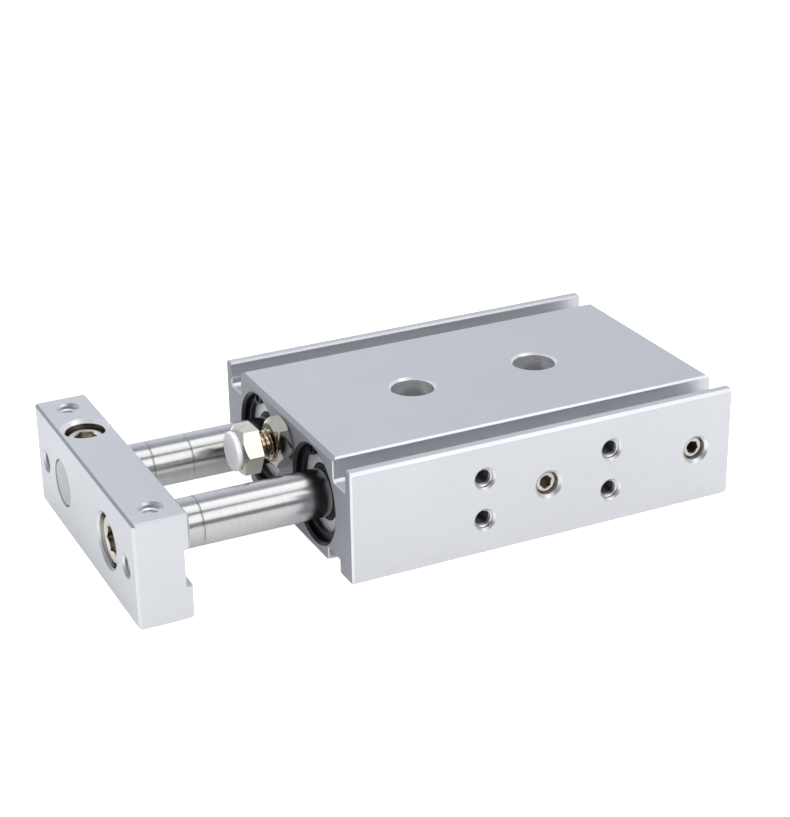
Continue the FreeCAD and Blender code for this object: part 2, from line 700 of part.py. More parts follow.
def make_piston(side):
    """Piston with its seal, magnet, bumper and nut, on the rod's threaded tail."""
    tail = "(dims.screw_thread / 2 + dims.thread_fit)"
    boss = "dims.piston_boss_diameter / 2"
    land = f"({BORE_RADIUS} - 2 * dims.slide_fit)"
    recess = "dims.piston_nut_recess / 2"
    seal_front = f"({LAND_FACE} - dims.piston_seal_setback)"
    seal_back = f"({seal_front} - dims.piston_seal_width)"
    seal_floor = f"({land} - dims.piston_seal_depth)"
    magnet_front = f"({LAND_FACE} - dims.magnet_setback)"
    magnet_back = f"({magnet_front} - dims.magnet_width)"
    magnet_floor = f"({land} - dims.magnet_depth)"
    outline = [
        (NUT_SEAT, tail),
        (PISTON_FACE, tail),
        (PISTON_FACE, boss),
        (LAND_FACE, boss),
        (LAND_FACE, f"{land} - dims.piston_land_edge"),
        (f"{LAND_FACE} - dims.piston_land_edge", land),
        (seal_front, land),
        (seal_front, seal_floor),
        (seal_back, seal_floor),
        (seal_back, land),
        (magnet_front, land),
        (magnet_front, magnet_floor),
        (magnet_back, magnet_floor),
        (magnet_back, land),
        (f"{LAND_BACK} + dims.piston_land_edge", land),
        (LAND_BACK, f"{land} - dims.piston_land_edge"),
        (LAND_BACK, boss),
        (PISTON_BACK, boss),
        (PISTON_BACK, recess),
        (NUT_SEAT, recess),
    ]
    turned(f"piston_{side}", outline, **on_bore(side))

    front = f"{seal_front} - dims.seat_fit"
    back = f"{seal_back} + dims.seat_fit"
    inner = f"{seal_floor} + dims.seat_fit"
    outer = f"{BORE_RADIUS} - dims.slide_fit"
    notch = f"({front} + {back}) / 2"
    outline = [(back, inner), (front, inner), (front, outer), (notch, f"{land}"), (back, outer)]
    turned(f"piston_seal_{side}", outline, **on_bore(side))

    front = f"{magnet_front} - dims.seat_fit"
    back = f"{magnet_back} + dims.seat_fit"
    inner = f"{magnet_floor} + dims.seat_fit"
    outer = f"{land} - dims.magnet_cover"
    outline = [(back, inner), (front, inner), (front, outer), (back, outer)]
    turned(f"piston_magnet_{side}", outline, **on_bore(side))

    inner = f"{ROD_RADIUS} + dims.seat_fit"
    outer = "dims.piston_bumper_diameter / 2"
    front = f"{PISTON_FACE} + dims.piston_bumper_thickness"
    outline = [(PISTON_FACE, inner), (front, inner), (front, outer), (PISTON_FACE, outer)]
    turned(f"piston_bumper_{side}", outline, **on_bore(side))

    blank = hexagon_blank(f"{NUT_SEAT} - dims.nut_thickness", NUT_SEAT, tail)
    nut = turned(f"piston_nut_{side}", blank, **on_bore(side))
    mill_flats(nut, NUT_SEAT, "dims.hexagon_flats", "dims.nut_thickness", 0)


def rod_outline(front, lines, hole_depth=None):
    """Outline of a rod: threaded tail, shoulder, thin turned lines and a chamfered end."""
    tail = "dims.screw_thread / 2"
    tail_end = f"{NUT_SEAT} - dims.nut_thickness"
    outline = [(tail_end, "0"), (tail_end, tail), (PISTON_FACE, tail), (PISTON_FACE, ROD_RADIUS)]
    for line in lines:
        outline += [
            (f"{line} - dims.rod_line_width / 2", ROD_RADIUS),
            (line, f"{ROD_RADIUS} - dims.rod_line_depth"),
            (f"{line} + dims.rod_line_width / 2", ROD_RADIUS),
        ]
    outline += [
        (f"{front} - dims.rod_end_chamfer", ROD_RADIUS),
        (front, f"{ROD_RADIUS} - dims.rod_end_chamfer"),
    ]
    if hole_depth:
        hole = "(dims.screw_thread / 2 + dims.thread_fit)"
        floor = f"{front} - {hole_depth}"
        return outline + [(front, hole), (floor, hole), (floor, "0")]
    return outline + [(front, "0")]


def make_rods():
    """Rod A has a tapped end in the plate's socket, rod B runs through the plate and has a clamp flat."""
    first_line = f"({PLATE_BACK} - dims.rod_line_setback)"
    second_line = f"({first_line} - dims.rod_line_spacing)"
    front = f"({PLATE_BACK} + dims.rod_socket_depth)"
    turned("rod_a", rod_outline(front, [first_line], "dims.rod_tap_depth"), **on_bore("a"))
    front = f"({PLATE_FRONT} - dims.rod_end_inset)"
    rod = turned("rod_b", rod_outline(front, [second_line, first_line]), **on_bore("b"))
    sketch = new_sketch(rod, "clamp_flat_outline", "XY_Plane", ROD_RADIUS)
    ends = [f"{PLATE_MIDDLE} {sign} dims.clamp_flat_length / 2" for sign in "-+"]
    sides = [f"-{ROD_RADIUS}", ROD_RADIUS]
    add_outline(sketch, [(ends[0], sides[0]), (ends[1], sides[0]), (ends[1], sides[1]), (ends[0], sides[1])])
    pocket(rod, "clamp_flat", sketch, "dims.clamp_flat_depth")


def make_plate():
    """End plate: a bar with a notch along its back, tapped on three sides, that ties the rods together."""
    body = new_body("plate")
    notch_front = f"{PLATE_BACK} + dims.plate_notch_depth"
    notch_top = "dims.axis_height + dims.plate_notch_height / 2"
    notch_bottom = "dims.axis_height - dims.plate_notch_height / 2"
    sketch = new_sketch(body, "plate_outline", "XZ_Plane")
    add_outline(sketch, [
        (PLATE_BACK, PLATE_BOTTOM),
        (PLATE_FRONT, PLATE_BOTTOM),
        (PLATE_FRONT, PLATE_TOP),
        (PLATE_BACK, PLATE_TOP),
        (PLATE_BACK, notch_top),
        (notch_front, notch_top),
        (notch_front, notch_bottom),
        (PLATE_BACK, notch_bottom),
    ])
    bar = body.newObject("PartDesign::Pad", "plate_bar")
    bar.Profile = sketch
    bar.setExpression("Length", "dims.plate_width")
    bar.SideType = "Symmetric"
    doc.recompute()
    box = bar.Shape.BoundBox

    def outer_edge(edge):
        place = edge.BoundBox
        faces = [
            near(place.XMin, place.XMax) and (near(place.XMin, box.XMin) or near(place.XMin, box.XMax)),
            near(place.YMin, place.YMax) and (near(place.YMin, box.YMin) or near(place.YMin, box.YMax)),
            near(place.ZMin, place.ZMax) and (near(place.ZMin, box.ZMin) or near(place.ZMin, box.ZMax)),
        ]
        return sum(faces) == 2

    break_edges(body, "plate_edges", "dims.plate_edge", outer_edge)
    drill_plate(body)


def drill_plate(body):
    """Tapped holes on the plate's top, underside and front, and the seats of the rods and screws."""
    reach = "dims.plate_tap_spacing / 2"
    mouth = "dims.small_thread + 2 * dims.tap_chamfer"
    for name, offset, away in (("top", PLATE_TOP, False), ("bottom", PLATE_BOTTOM, True)):
        sketch = new_sketch(body, f"plate_{name}_tap_circles", "XY_Plane", offset)
        for y in (reach, f"-{reach}"):
            add_circle(sketch, PLATE_MIDDLE, y, "dims.small_thread")
        drill(body, f"plate_{name}_taps", sketch, "dims.small_thread", "dims.plate_tap_depth", mouth, away)
    sketch = new_sketch(body, "plate_front_tap_circles", "YZ_Plane", PLATE_FRONT)
    for y in (reach, f"-{reach}"):
        add_circle(sketch, y, "dims.axis_height", "dims.small_thread")
    drill(body, "plate_front_taps", sketch, "dims.small_thread", "dims.plate_front_tap_depth", mouth)

    bore = "dims.rod_diameter + 2 * dims.seat_fit"
    sketch = new_sketch(body, "rod_b_circle", "YZ_Plane", PLATE_FRONT)
    add_circle(sketch, BORE_Y["b"], "dims.axis_height", bore)
    drill(body, "rod_b_hole", sketch, bore)
    sketch = new_sketch(body, "rod_a_circle", "YZ_Plane", PLATE_BACK)
    add_circle(sketch, BORE_Y["a"], "dims.axis_height", bore)
    pocket(body, "rod_a_socket", sketch, "dims.rod_socket_depth", away=True)

    seat = "dims.cap_head_diameter + 2 * dims.cap_head_gap"
    sketch = new_sketch(body, "cap_seat_circle", "YZ_Plane", PLATE_FRONT)
    add_circle(sketch, BORE_Y["a"], "dims.axis_height", seat)
    drill(body, "cap_seat", sketch, seat, "dims.cap_head_height + dims.cap_head_recess",
          f"{seat} + 2 * dims.tap_chamfer", flat=True)
    clearance = "dims.screw_thread + 2 * dims.screw_clearance"
    sketch = new_sketch(body, "cap_clearance_circle", "YZ_Plane", PLATE_FRONT)
    add_circle(sketch, BORE_Y["a"], "dims.axis_height", clearance)
    drill(body, "cap_clearance", sketch, clearance)

    sketch = new_sketch(body, "clamp_circle", "XY_Plane", PLATE_TOP)
    add_circle(sketch, PLATE_MIDDLE, BORE_Y["b"], "dims.clamp_thread")
    drill(body, "clamp_hole", sketch, "dims.clamp_thread", "dims.plate_height / 2",
          "dims.clamp_thread + 2 * dims.clamp_mouth_chamfer", flat=True)


def make_plate_screws():
    """Cap screw in the end of rod A, and set screw that clamps rod B."""
    top = f"({PLATE_FRONT} - dims.cap_head_recess)"
    seat = f"({top} - dims.cap_head_height)"
    tip = f"({PLATE_BACK} + dims.rod_socket_depth - dims.cap_thread_length)"
    shank = "dims.screw_thread / 2"
    head = "dims.cap_head_diameter / 2"
    outline = [
        (tip, "0"),
        (tip, f"{shank} - dims.screw_edge"),
        (f"{tip} + dims.screw_edge", shank),
        (seat, shank),
        (seat, head),
        (f"{top} - dims.screw_edge", head),
        (top, f"{head} - dims.screw_edge"),
        (top, "0"),
    ]
    screw = turned("plate_cap_screw", outline, **on_bore("a"))
    sink_socket(screw, top, "dims.cap_socket", "dims.cap_socket_depth")

    tip = f"({ROD_RADIUS} - dims.clamp_flat_depth)"
    top = "(dims.plate_height / 2 - dims.clamp_recess)"
    radius = "(dims.clamp_thread / 2 - dims.thread_fit)"
    outline = [
        (tip, "0"),
        (tip, f"{radius} - 2 * dims.screw_edge"),
        (f"{tip} + 2 * dims.screw_edge", radius),
        (f"{top} - dims.screw_edge", radius),
        (top, f"{radius} - dims.screw_edge"),
        (top, "0"),
    ]
    upright = Rotation(Vector(0, 1, 0), -90)
    screw = turned("plate_set_screw", outline, x=PLATE_MIDDLE, rotation=upright, **on_bore("b"))
    sink_socket(screw, top, "dims.clamp_socket", "dims.clamp_socket_depth")


def make_port_plugs():
    """Socket plugs in the two ports on the +Y side."""
    top = "(dims.body_width / 2 - dims.plug_recess)"
    bottom = f"({top} - dims.plug_length)"
    radius = "(dims.port_thread / 2 - dims.thread_fit)"
    outline = [
        (bottom, "0"),
        (bottom, f"{radius} - dims.screw_edge"),
        (f"{bottom} + dims.screw_edge", radius),
        (f"{top} - dims.plug_edge", radius),
        (top, f"{radius} - dims.plug_edge"),
        (top, "0"),
    ]
    sideways = Rotation(Vector(0, 0, 1), 90)
    for name, x in (("rod_port_plug", ROD_PORT), ("head_port_plug", HEAD_PORT)):
        plug = turned(name, outline, x=x, z="dims.axis_height", rotation=sideways)
        sink_socket(plug, top, "dims.plug_socket", "dims.plug_socket_depth")


def make_adjuster():
    """Bolt with a bumper in its head, held by a lock nut against the housing."""
    place = {"z": "dims.adjuster_height"}
    hole = "dims.screw_thread / 2 + dims.slide_fit"
    nut_top = f"({FACE} + dims.nut_thickness)"
    nut = turned("lock_nut", hexagon_blank(FACE, nut_top, hole), **place)
    mill_flats(nut, nut_top, "dims.hexagon_flats", "dims.nut_thickness", NUT_CORNER_DIRECTION)

    stem_hole = "(dims.bumper_stem_diameter / 2 + dims.slide_fit)"
    stem_floor = f"({HEAD_TOP} - dims.bumper_stem_length - dims.stop_gap)"
    shank = "(dims.screw_thread / 2)"
    tip = f"({FACE} - dims.bolt_shank_in_body)"
    head = hexagon_blank(HEAD_SEAT, HEAD_TOP, shank, chamfer_back=False)
    outline = [
        (tip, "0"),
        (tip, f"{shank} - dims.screw_edge"),
        (f"{tip} + dims.screw_edge", shank),
        *head[:-1],
        (HEAD_TOP, stem_hole),
        (stem_floor, stem_hole),
        (stem_floor, "0"),
    ]
    bolt = turned("bumper_bolt", outline, **place)
    mill_flats(bolt, HEAD_TOP, "dims.hexagon_flats", "dims.bolt_head_height", HEAD_CORNER_DIRECTION)

    stem = "dims.bumper_stem_diameter / 2"
    disc = "dims.bumper_diameter / 2"
    stem_end = f"{HEAD_TOP} - dims.bumper_stem_length"
    outline = [
        (stem_end, "0"),
        (stem_end, stem),
        (HEAD_TOP, stem),
        (HEAD_TOP, disc),
        (BUMPER_TIP, disc),
        (BUMPER_TIP, "0"),
    ]
    bumper = turned("stop_bumper", outline, **place)

    def front_rim(edge):
        return near(edge.BoundBox.XMin, value(BUMPER_TIP))

    break_edges(bumper, "bumper_rim", "dims.bumper_rim_radius", front_rim, True)


make_housing()
for bore in ("a", "b"):
    make_rod_end(bore)
    make_head_end(bore)
    make_piston(bore)
make_rods()
make_plate()
make_plate_screws()
make_port_plugs()
make_adjuster()
doc.recompute()

for item in doc.Objects:
    if "Invalid" in item.State or "Error" in item.State:
        raise RuntimeError(f"{item.Name} did not build")
bodies = [item for item in doc.Objects if item.TypeId == "PartDesign::Body"]
for item in bodies:
    if item.Shape.isNull() or not item.Shape.isValid() or len(item.Shape.Solids) != 1:
        raise RuntimeError(f"{item.Label} is not one valid solid")
os.makedirs("parts", exist_ok=True)
for item in bodies:
    item.Shape.exportStep(f"parts/{item.Label}.step")
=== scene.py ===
import json
from math import pi, radians, sqrt, tan

import bpy
from mathutils import Matrix, Vector


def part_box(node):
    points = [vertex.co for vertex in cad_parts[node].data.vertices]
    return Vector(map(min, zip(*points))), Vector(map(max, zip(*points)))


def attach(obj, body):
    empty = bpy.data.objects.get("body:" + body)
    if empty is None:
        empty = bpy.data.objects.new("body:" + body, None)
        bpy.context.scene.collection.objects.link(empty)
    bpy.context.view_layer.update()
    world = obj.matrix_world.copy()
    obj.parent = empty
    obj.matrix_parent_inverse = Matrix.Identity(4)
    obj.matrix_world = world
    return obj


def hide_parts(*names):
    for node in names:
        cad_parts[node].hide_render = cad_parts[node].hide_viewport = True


# Twin rod pneumatic cylinder: finishes, fine hardware and studio around the fixed frame
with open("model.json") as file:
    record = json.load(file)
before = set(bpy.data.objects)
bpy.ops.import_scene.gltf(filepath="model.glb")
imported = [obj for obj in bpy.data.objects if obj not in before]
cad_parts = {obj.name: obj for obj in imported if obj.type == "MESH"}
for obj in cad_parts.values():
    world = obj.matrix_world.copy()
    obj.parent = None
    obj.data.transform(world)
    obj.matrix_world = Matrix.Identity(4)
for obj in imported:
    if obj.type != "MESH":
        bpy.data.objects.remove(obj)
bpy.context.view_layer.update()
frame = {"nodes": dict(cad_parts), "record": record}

MM = 0.001
WELD = 1e-6
SAW_TOLERANCE = 1e-8
ALIGNED = 0.9
SMOOTH_ANGLE = radians(32)
TURN_STEPS = 96
ROUND_STEPS = 4

# Ways a piece can face, as turns of its own X axis
FACING = {
    "+X": Matrix.Identity(4),
    "+Y": Matrix.Rotation(radians(90), 4, "Z"),
    "-Y": Matrix.Rotation(radians(-90), 4, "Z"),
    "+Z": Matrix.Rotation(radians(-90), 4, "Y"),
    "-Z": Matrix.Rotation(radians(90), 4, "Y"),
}

# Camera: image height and focal length in pixels, sensor in millimetres, place and directions
IMAGE_HEIGHT = 817
FOCAL_LENGTH = 1956.8
SENSOR = 36.0
CLIP_NEAR = 0.01
CLIP_FAR = 50
CAMERA_PLACE = Vector((0.178876, 0.335155, 0.186556))
CAMERA_RIGHT = Vector((-0.899154, 0.437382, -0.014786))
CAMERA_DOWN = Vector((0.191248, 0.362322, -0.912221))

# Rods
TAIL_RADIUS = 3.0 * MM
ROD_END_CHAMFER = 0.4 * MM
ROD_LINE_WIDTH = 0.4 * MM
ROD_LINE_DEPTH = 0.15 * MM
ROD_LINE_SETBACK = 7.0 * MM
ROD_LINE_SPACING = 8.4 * MM
ROD_TAP_RADIUS = 3.04 * MM
ROD_TAP_DEPTH = 12.0 * MM
CLAMP_FLAT_DEPTH = 0.3 * MM
CLAMP_FLAT_LENGTH = 8.4 * MM

# Stroke adjuster
HEXAGON_FLATS = 9.4 * MM
HEXAGON_RIM = 0.9
HEXAGON_SLOPE = tan(radians(35))
HEXAGON_EASE = 0.2 * MM
EASE_STEPS = 3
CORNER_SHARE = 0.99
BLANK_OVERSIZE = 1.04
NUT_CORNER = 46
NUT_HOLE = 3.05 * MM
NUT_SINK = 0.35 * MM
HEAD_CORNER = 2
HEAD_HEIGHT = 4.0 * MM
BOLT_PITCH = 1.0 * MM
BOLT_CREST = 3.0 * MM
BOLT_ROOT = 2.4 * MM
BOLT_STEPS = 48
BOLT_RUN_OUT = 1.5
BOLT_SPARE_TURNS = 4
STEM_RADIUS = 1.7 * MM
STEM_LENGTH = 2.0 * MM
STEM_ROUND = 0.3 * MM
STEM_HOLE = 1.75 * MM
STEM_HOLE_DEPTH = 2.1 * MM
BUMPER_RIM = 0.4 * MM
BUMPER_SEAT_ROUND = 0.1 * MM
BUMPER_STEPS = 6

# Socket screws and plugs
CAP_HEAD_HEIGHT = 4.0 * MM
CAP_SOCKET = 5.0 * MM
CAP_SOCKET_DEPTH = 2.4 * MM
CAP_TWIST = 12
CAP_ROUND = 0.2 * MM
CLAMP_SOCKET = 4.0 * MM
CLAMP_SOCKET_DEPTH = 2.6 * MM
CLAMP_TWIST = 8
CLAMP_ROUND = 0.15 * MM
PLUG_SOCKET = 2.5 * MM
PLUG_SOCKET_DEPTH = 2.2 * MM
PLUG_TWISTS = (("rod_port_plug", 20), ("head_port_plug", 47))
PLUG_EDGE = 0.45 * MM
PLUG_ROUND = 0.1 * MM
SCREW_EDGE = 0.5 * MM
SOCKET_POINT = 0.2
SOCKET_MOUTH = 1.06
SOCKET_DISH = 0.5
RECESS_TOP = 0.25
RECESS_FLOOR = 1.3

# Snap rings
RING_BAND = 2.0 * MM
RING_TAPER = 0.35 * MM
RING_GAP_DIRECTION = 91
RING_GAP_WIDTH = 3.9 * MM
RING_EAR_RADIUS = 2.4 * MM
RING_EAR_DEPTH = 2.9 * MM
RING_EAR_WALL = 0.5 * MM
RING_EAR_HOLE = 1.6 * MM
RING_EAR_TURN = 25.7
RING_EAR_STEPS = 64
RING_HOLE_STEPS = 32
RING_SOFTEN = 0.07 * MM
RING_SHARP = radians(50)
SOFTEN_STEPS = 2

# Tapped holes: each tap has its radius, its pitch, its start below the mouth and its length
MOUNTING_TAP = (2.0 * MM, 0.7 * MM, 0.5 * MM, 5.0 * MM)
PORT_TAP = (2.5 * MM, 0.8 * MM, 0.7 * MM, 4.1 * MM)
TAP_ROOT = 0.02 * MM
TAP_HEIGHT = 0.54
TAP_HALF_BASE = 0.42
TAP_STEPS = 40
THREAD_CREST = 1 / 16
SIDE_TAP_X = 14.5 * MM
SIDE_TAP_RISE = 4.5 * MM
PLATE_TAP_Y = 25.3 * MM
PORT_X = (0.0, -35.0 * MM)
THREAD_FINISH = {"X": "front_thread", "Y": "side_thread", "Z": "plate_thread"}

# Axes of turned features, and the directions across and along each kind of axis
BORE_Y = 14 * MM
AXIS_HEIGHT = 12 * MM
PLATE_X = 81 * MM
BORE_AXIS = (0, BORE_Y, AXIS_HEIGHT)
MOUNT_AXIS = (SIDE_TAP_X, 0, 0)
CLAMP_AXIS = (PLATE_X, -BORE_Y, 0)
ROUND_X = ((0, 1, 1), (1, 0, 0))
ROUND_Y = ((1, 0, 1), (0, 1, 0))
ROUND_Z = ((1, 1, 0), (0, 0, 1))

# Surfaces: where finishes, and the painted shade and light inside holes, begin and end
TAP_WALL = 2.03 * MM
PORT_WALL = 2.53 * MM
TAP_REACH = 6.0 * MM
TAP_EDGE = 0.1 * MM
SIDE_RIM = 31.1 * MM
PORT_RIM = 30.4 * MM
PLATE_RIM = 10.1 * MM
FRONT_RIM = 85.6 * MM
SHADE_DEPTH = 1.1 * MM
MASK_EDGE = 0.05 * MM
FIN_EDGE = 29.5 * MM
FIN_EDGE_WIDTH = 0.4 * MM
END_FACE = (0.2 * MM, 0.1 * MM)
END_SLOPE = (1.0 * MM, 0.9 * MM)
GROOVE_WALLS = (("Y", 23.7, 23.75), ("Y", 29.5, 29.45), ("Z", 18.7, 18.8), ("Z", 23.64, 23.59))

# Surfaces: textures
NOISE_RANGE = (0.3, 0.7)
TONE_RANGE = (0.35, 0.65)
CHAMFER_SLANT = (0.2, 0.42)
CLOUD_SCALE = 0.02
HAIR_SCALE = 3.0
HAIR_WIDTH = 0.006
TURNING_SPACING = 0.12 * MM
POCKET_SPACING = 0.3 * MM
POCKET_DARK = 0.55
POCKET_RELIEF = 2.5
EVERYWHERE = 1.0
# Colours deep in the taps: painted shade in the housing's taps and ports, painted light in the plate's taps
TAP_SHADE = {"shade": (0.06, 0.06, 0.063, 1), "gloss": 0.5, "metal": 1.0}
PLATE_TAP_PAINTED_LIGHT = {"shade": (0.85, 0.85, 0.86, 1), "gloss": 0.4, "metal": 0.4}

# Studio. Each level of the tent has its axis, where the change begins and ends, and the level beyond it.
# Each soft box has its centre, width, height and radiance, and whether metal mirrors it.
LIGHT_TARGET = Vector((0.02, 0, 0.012))
FAR_WALL = (0.805, 0.835, 0.90, 1)
NEAR_WALL = (0.22, 0.22, 0.23, 1)
NEAR_TURN = (-0.15, 0.35)
TENT_LEVELS = (("X", 0.1, 0.5, 0.65), ("X", -0.5, -0.2, 1.27), ("Z", 0.6, 0.85, 0.55))
SOFTBOXES = (
    ("overhead_softbox", (-0.34, 0.13, 0.94), 0.62, 0.6, 1.6, True),
    ("near_softbox", (-0.35, 0.765, 0.62), 0.9, 0.62, 1.65, True),
    ("floor_fill", (0.5, 0.95, 1.1), 2.4, 1.6, 2.15, False),
)
FLOOR_SIZE = 6
FLOOR_DROP = 0.0002
FLOOR_GLOW = 0.1
FLOOR_GLOW_SEEN = 0.75


def deselect_all():
    bpy.ops.object.select_all(action="DESELECT")


def pick(piece):
    """Makes one piece the only selected one."""
    deselect_all()
    piece.select_set(True)
    bpy.context.view_layer.objects.active = piece


def apply_modifier(piece, modifier):
    pick(piece)
    bpy.ops.object.modifier_apply(modifier=modifier.name)


def close_mesh():
    """In edit mode: merges doubled points and turns every face outwards."""
    bpy.ops.mesh.select_all(action="SELECT")
    bpy.ops.mesh.remove_doubles(threshold=WELD)
    bpy.ops.mesh.normals_make_consistent(inside=False)


def draw_outline(name, outline):
    """Line of points at (along X, radius), drawn point by point and left in edit mode."""
    deselect_all()
    bpy.ops.mesh.primitive_plane_add(size=MM, enter_editmode=True)
    piece = bpy.context.object
    piece.name = name
    bpy.ops.mesh.merge(type="CENTER")
    bpy.ops.transform.translate(value=(outline[0][0], 0, outline[0][1]))
    for start, end in zip(outline, outline[1:]):
        step = (end[0] - start[0], 0, end[1] - start[1])
        bpy.ops.mesh.extrude_vertices_move(TRANSFORM_OT_translate={"value": step})
    return piece


def turn(name, outline):
    """Closed piece turned about the X axis."""
    piece = draw_outline(name, outline)
    bpy.ops.mesh.select_all(action="SELECT")
    bpy.ops.mesh.spin(steps=TURN_STEPS, angle=2 * pi, center=(0, 0, 0), axis=(1, 0, 0))
    close_mesh()
    bpy.ops.object.mode_set(mode="OBJECT")
    return piece


def rounded(corners, steps=ROUND_STEPS):
    """Outline whose corners (along, radius, round) are eased by small arcs."""
    outline = []
    points = [Vector(corner[:2]) for corner in corners]
    for place, (point, corner) in enumerate(zip(points, corners)):
        size = corner[2] if len(corner) > 2 else 0
        if not size:
            outline.append(tuple(point))
            continue
        before = point + (points[place - 1] - point).normalized() * size
        after = point + (points[place + 1] - point).normalized() * size
        for step in range(steps + 1):
            share = step / steps
            mix = before * (1 - share) ** 2 + point * 2 * share * (1 - share) + after * share ** 2
            outline.append(tuple(mix))
    return outline


def add_cylinder(name, radius, back, front, across=(0, 0), sides=TURN_STEPS):
    """Bar along X about the axis at (Y, Z), with its first corner towards +Y."""
    deselect_all()
    bpy.ops.mesh.primitive_cylinder_add(vertices=sides, radius=radius, depth=front - back)
    bar = bpy.context.object
    bar.name = name
    centre = Vector(((back + front) / 2, *across))
    bar.matrix_world = Matrix.Translation(centre) @ Matrix.Rotation(radians(90), 4, "Y")
    bpy.ops.object.transform_apply(location=True, rotation=True, scale=True)
    return bar


def add_hexagon(name, flats, back, front, point=0.0):
    """Hexagon bar along X; a drill point of the given length may run on behind it."""
    bar = add_cylinder(name, flats / sqrt(3), back, front, sides=6)
    if point:
        for face in bar.data.polygons:
            face.select = face.normal.x < -ALIGNED
        bpy.ops.object.mode_set(mode="EDIT")
        bpy.ops.mesh.select_mode(type="FACE")
        bpy.ops.mesh.extrude_region_move(TRANSFORM_OT_translate={"value": (-point, 0, 0)})
        bpy.ops.mesh.merge(type="COLLAPSE")
        close_mesh()
        bpy.ops.mesh.select_mode(type="VERT")
        bpy.ops.object.mode_set(mode="OBJECT")
    return bar


def add_block(name, size, centre, turned=0.0):
    """Block of a given size about a centre, turned about its own X axis."""
    deselect_all()
    bpy.ops.mesh.primitive_cube_add(size=1)
    block = bpy.context.object
    block.name = name
    block.scale = size
    block.rotation_euler = (turned, 0, 0)
    block.location = centre
    bpy.ops.object.transform_apply(location=True, rotation=True, scale=True)
    return block


def combine(piece, tool, operation):
    """Cuts, joins or trims a piece by a tool, which is used up."""
    modifier = piece.modifiers.new("combine", "BOOLEAN")
    modifier.operation = operation
    modifier.solver = "EXACT"
    modifier.object = tool
    apply_modifier(piece, modifier)
    bpy.data.objects.remove(tool, do_unlink=True)


def soften(piece, width, least_angle):
    """Rounds the sharp edges of a piece a little."""
    modifier = piece.modifiers.new("soften", "BEVEL")
    modifier.width = width
    modifier.segments = SOFTEN_STEPS
    modifier.limit_method = "ANGLE"
    modifier.angle_limit = least_angle
    modifier.use_clamp_overlap = False
    apply_modifier(piece, modifier)


def ease_corners(piece):
    """Rounds the six corner edges of a hexagon a little."""
    corner = HEXAGON_FLATS / sqrt(3)
    pick(piece)
    bpy.ops.object.mode_set(mode="EDIT")
    bpy.ops.mesh.select_mode(type="EDGE")
    bpy.ops.mesh.select_all(action="DESELECT")
    bpy.ops.object.mode_set(mode="OBJECT")
    points = piece.data.vertices
    for edge in piece.data.edges:
        first, second = (points[index].co for index in edge.vertices)
        along = abs(second.x - first.x) > ALIGNED * (second - first).length
        edge.select = along and min(first.yz.length, second.yz.length) > CORNER_SHARE * corner
    bpy.ops.object.mode_set(mode="EDIT")
    bpy.ops.mesh.bevel(offset=HEXAGON_EASE, segments=EASE_STEPS, affect="EDGES")
    close_mesh()
    bpy.ops.mesh.select_mode(type="VERT")
    bpy.ops.object.mode_set(mode="OBJECT")


def wind(name, profile, pitch, turns, steps):
    """Profile carried along a helix about the X axis."""
    piece = draw_outline(name, profile)
    bpy.ops.mesh.select_all(action="SELECT")
    bpy.ops.mesh.remove_doubles(threshold=WELD)
    bpy.ops.object.mode_set(mode="OBJECT")
    modifier = piece.modifiers.new("wind", "SCREW")
    modifier.axis = "X"
    modifier.screw_offset = pitch
    modifier.iterations = turns
    modifier.steps = steps
    modifier.render_steps = steps
    apply_modifier(piece, modifier)
    return piece


def trim(piece, back, front):
    """Saws a piece off square at two stations along X and closes the cuts."""
    pick(piece)
    bpy.ops.object.mode_set(mode="EDIT")
    close_mesh()
    for station, side in ((back, "clear_inner"), (front, "clear_outer")):
        bpy.ops.mesh.select_all(action="SELECT")
        bpy.ops.mesh.bisect(
            plane_co=(station, 0, 0), plane_no=(1, 0, 0), use_fill=True, threshold=SAW_TOLERANCE,
            **{side: True},
        )
    close_mesh()
    bpy.ops.object.mode_set(mode="OBJECT")


def set_down(piece, spot, facing="+X", twist=0.0):
    """Turns a piece from its own X axis to its way in the frame, with its place in the mesh."""
    pick(piece)
    way = FACING[facing] @ Matrix.Rotation(radians(twist), 4, "X")
    piece.matrix_world = Matrix.Translation(spot) @ way
    bpy.ops.object.transform_apply(location=True, rotation=True, scale=True)
    bpy.ops.object.shade_smooth_by_angle(angle=SMOOTH_ANGLE)


def copy_of(piece, name):
    """Copy of a piece with its own mesh."""
    pick(piece)
    bpy.ops.object.duplicate(linked=False)
    copy = bpy.context.object
    copy.name = name
    copy.data.name = name
    return copy


def hand_over(piece, body, finish, node=None, second=None, faces=()):
    """Gives a piece its finish, a second one on chosen faces, its body and the node it stands for."""
    piece.data.materials.clear()
    piece.data.materials.append(FINISH[finish])
    if second:
        piece.data.materials.append(FINISH[second])
        for face in faces:
            piece.data.polygons[face].material_index = 1
    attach(piece, body)
    if node:
        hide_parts(node)


def middle(node):
    """Axis of a node that lies along X: its Y and Z, and its ends along X."""
    low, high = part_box(node)
    return Vector((0, (low.y + high.y) / 2, (low.z + high.z) / 2)), low.x, high.x


def half_width(node):
    """Radius of a round node that lies along X or Z."""
    low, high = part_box(node)
    return (high.y - low.y) / 2


# Shader nodes


def add_node(tree, kind, inputs=None, **settings):
    """Adds a node; an input is a plain value or the output of another node."""
    node = tree.nodes.new(kind)
    for name, setting in settings.items():
        setattr(node, name, setting)
    for name, value in (inputs or {}).items():
        if isinstance(value, bpy.types.NodeSocket):
            tree.links.new(value, node.inputs[name])
        else:
            node.inputs[name].default_value = value
    return node


def calculate(tree, operation, first, second=0.0):
    """Result of a sum on one or two values."""
    return add_node(tree, "ShaderNodeMath", {0: first, 1: second}, operation=operation).outputs[0]


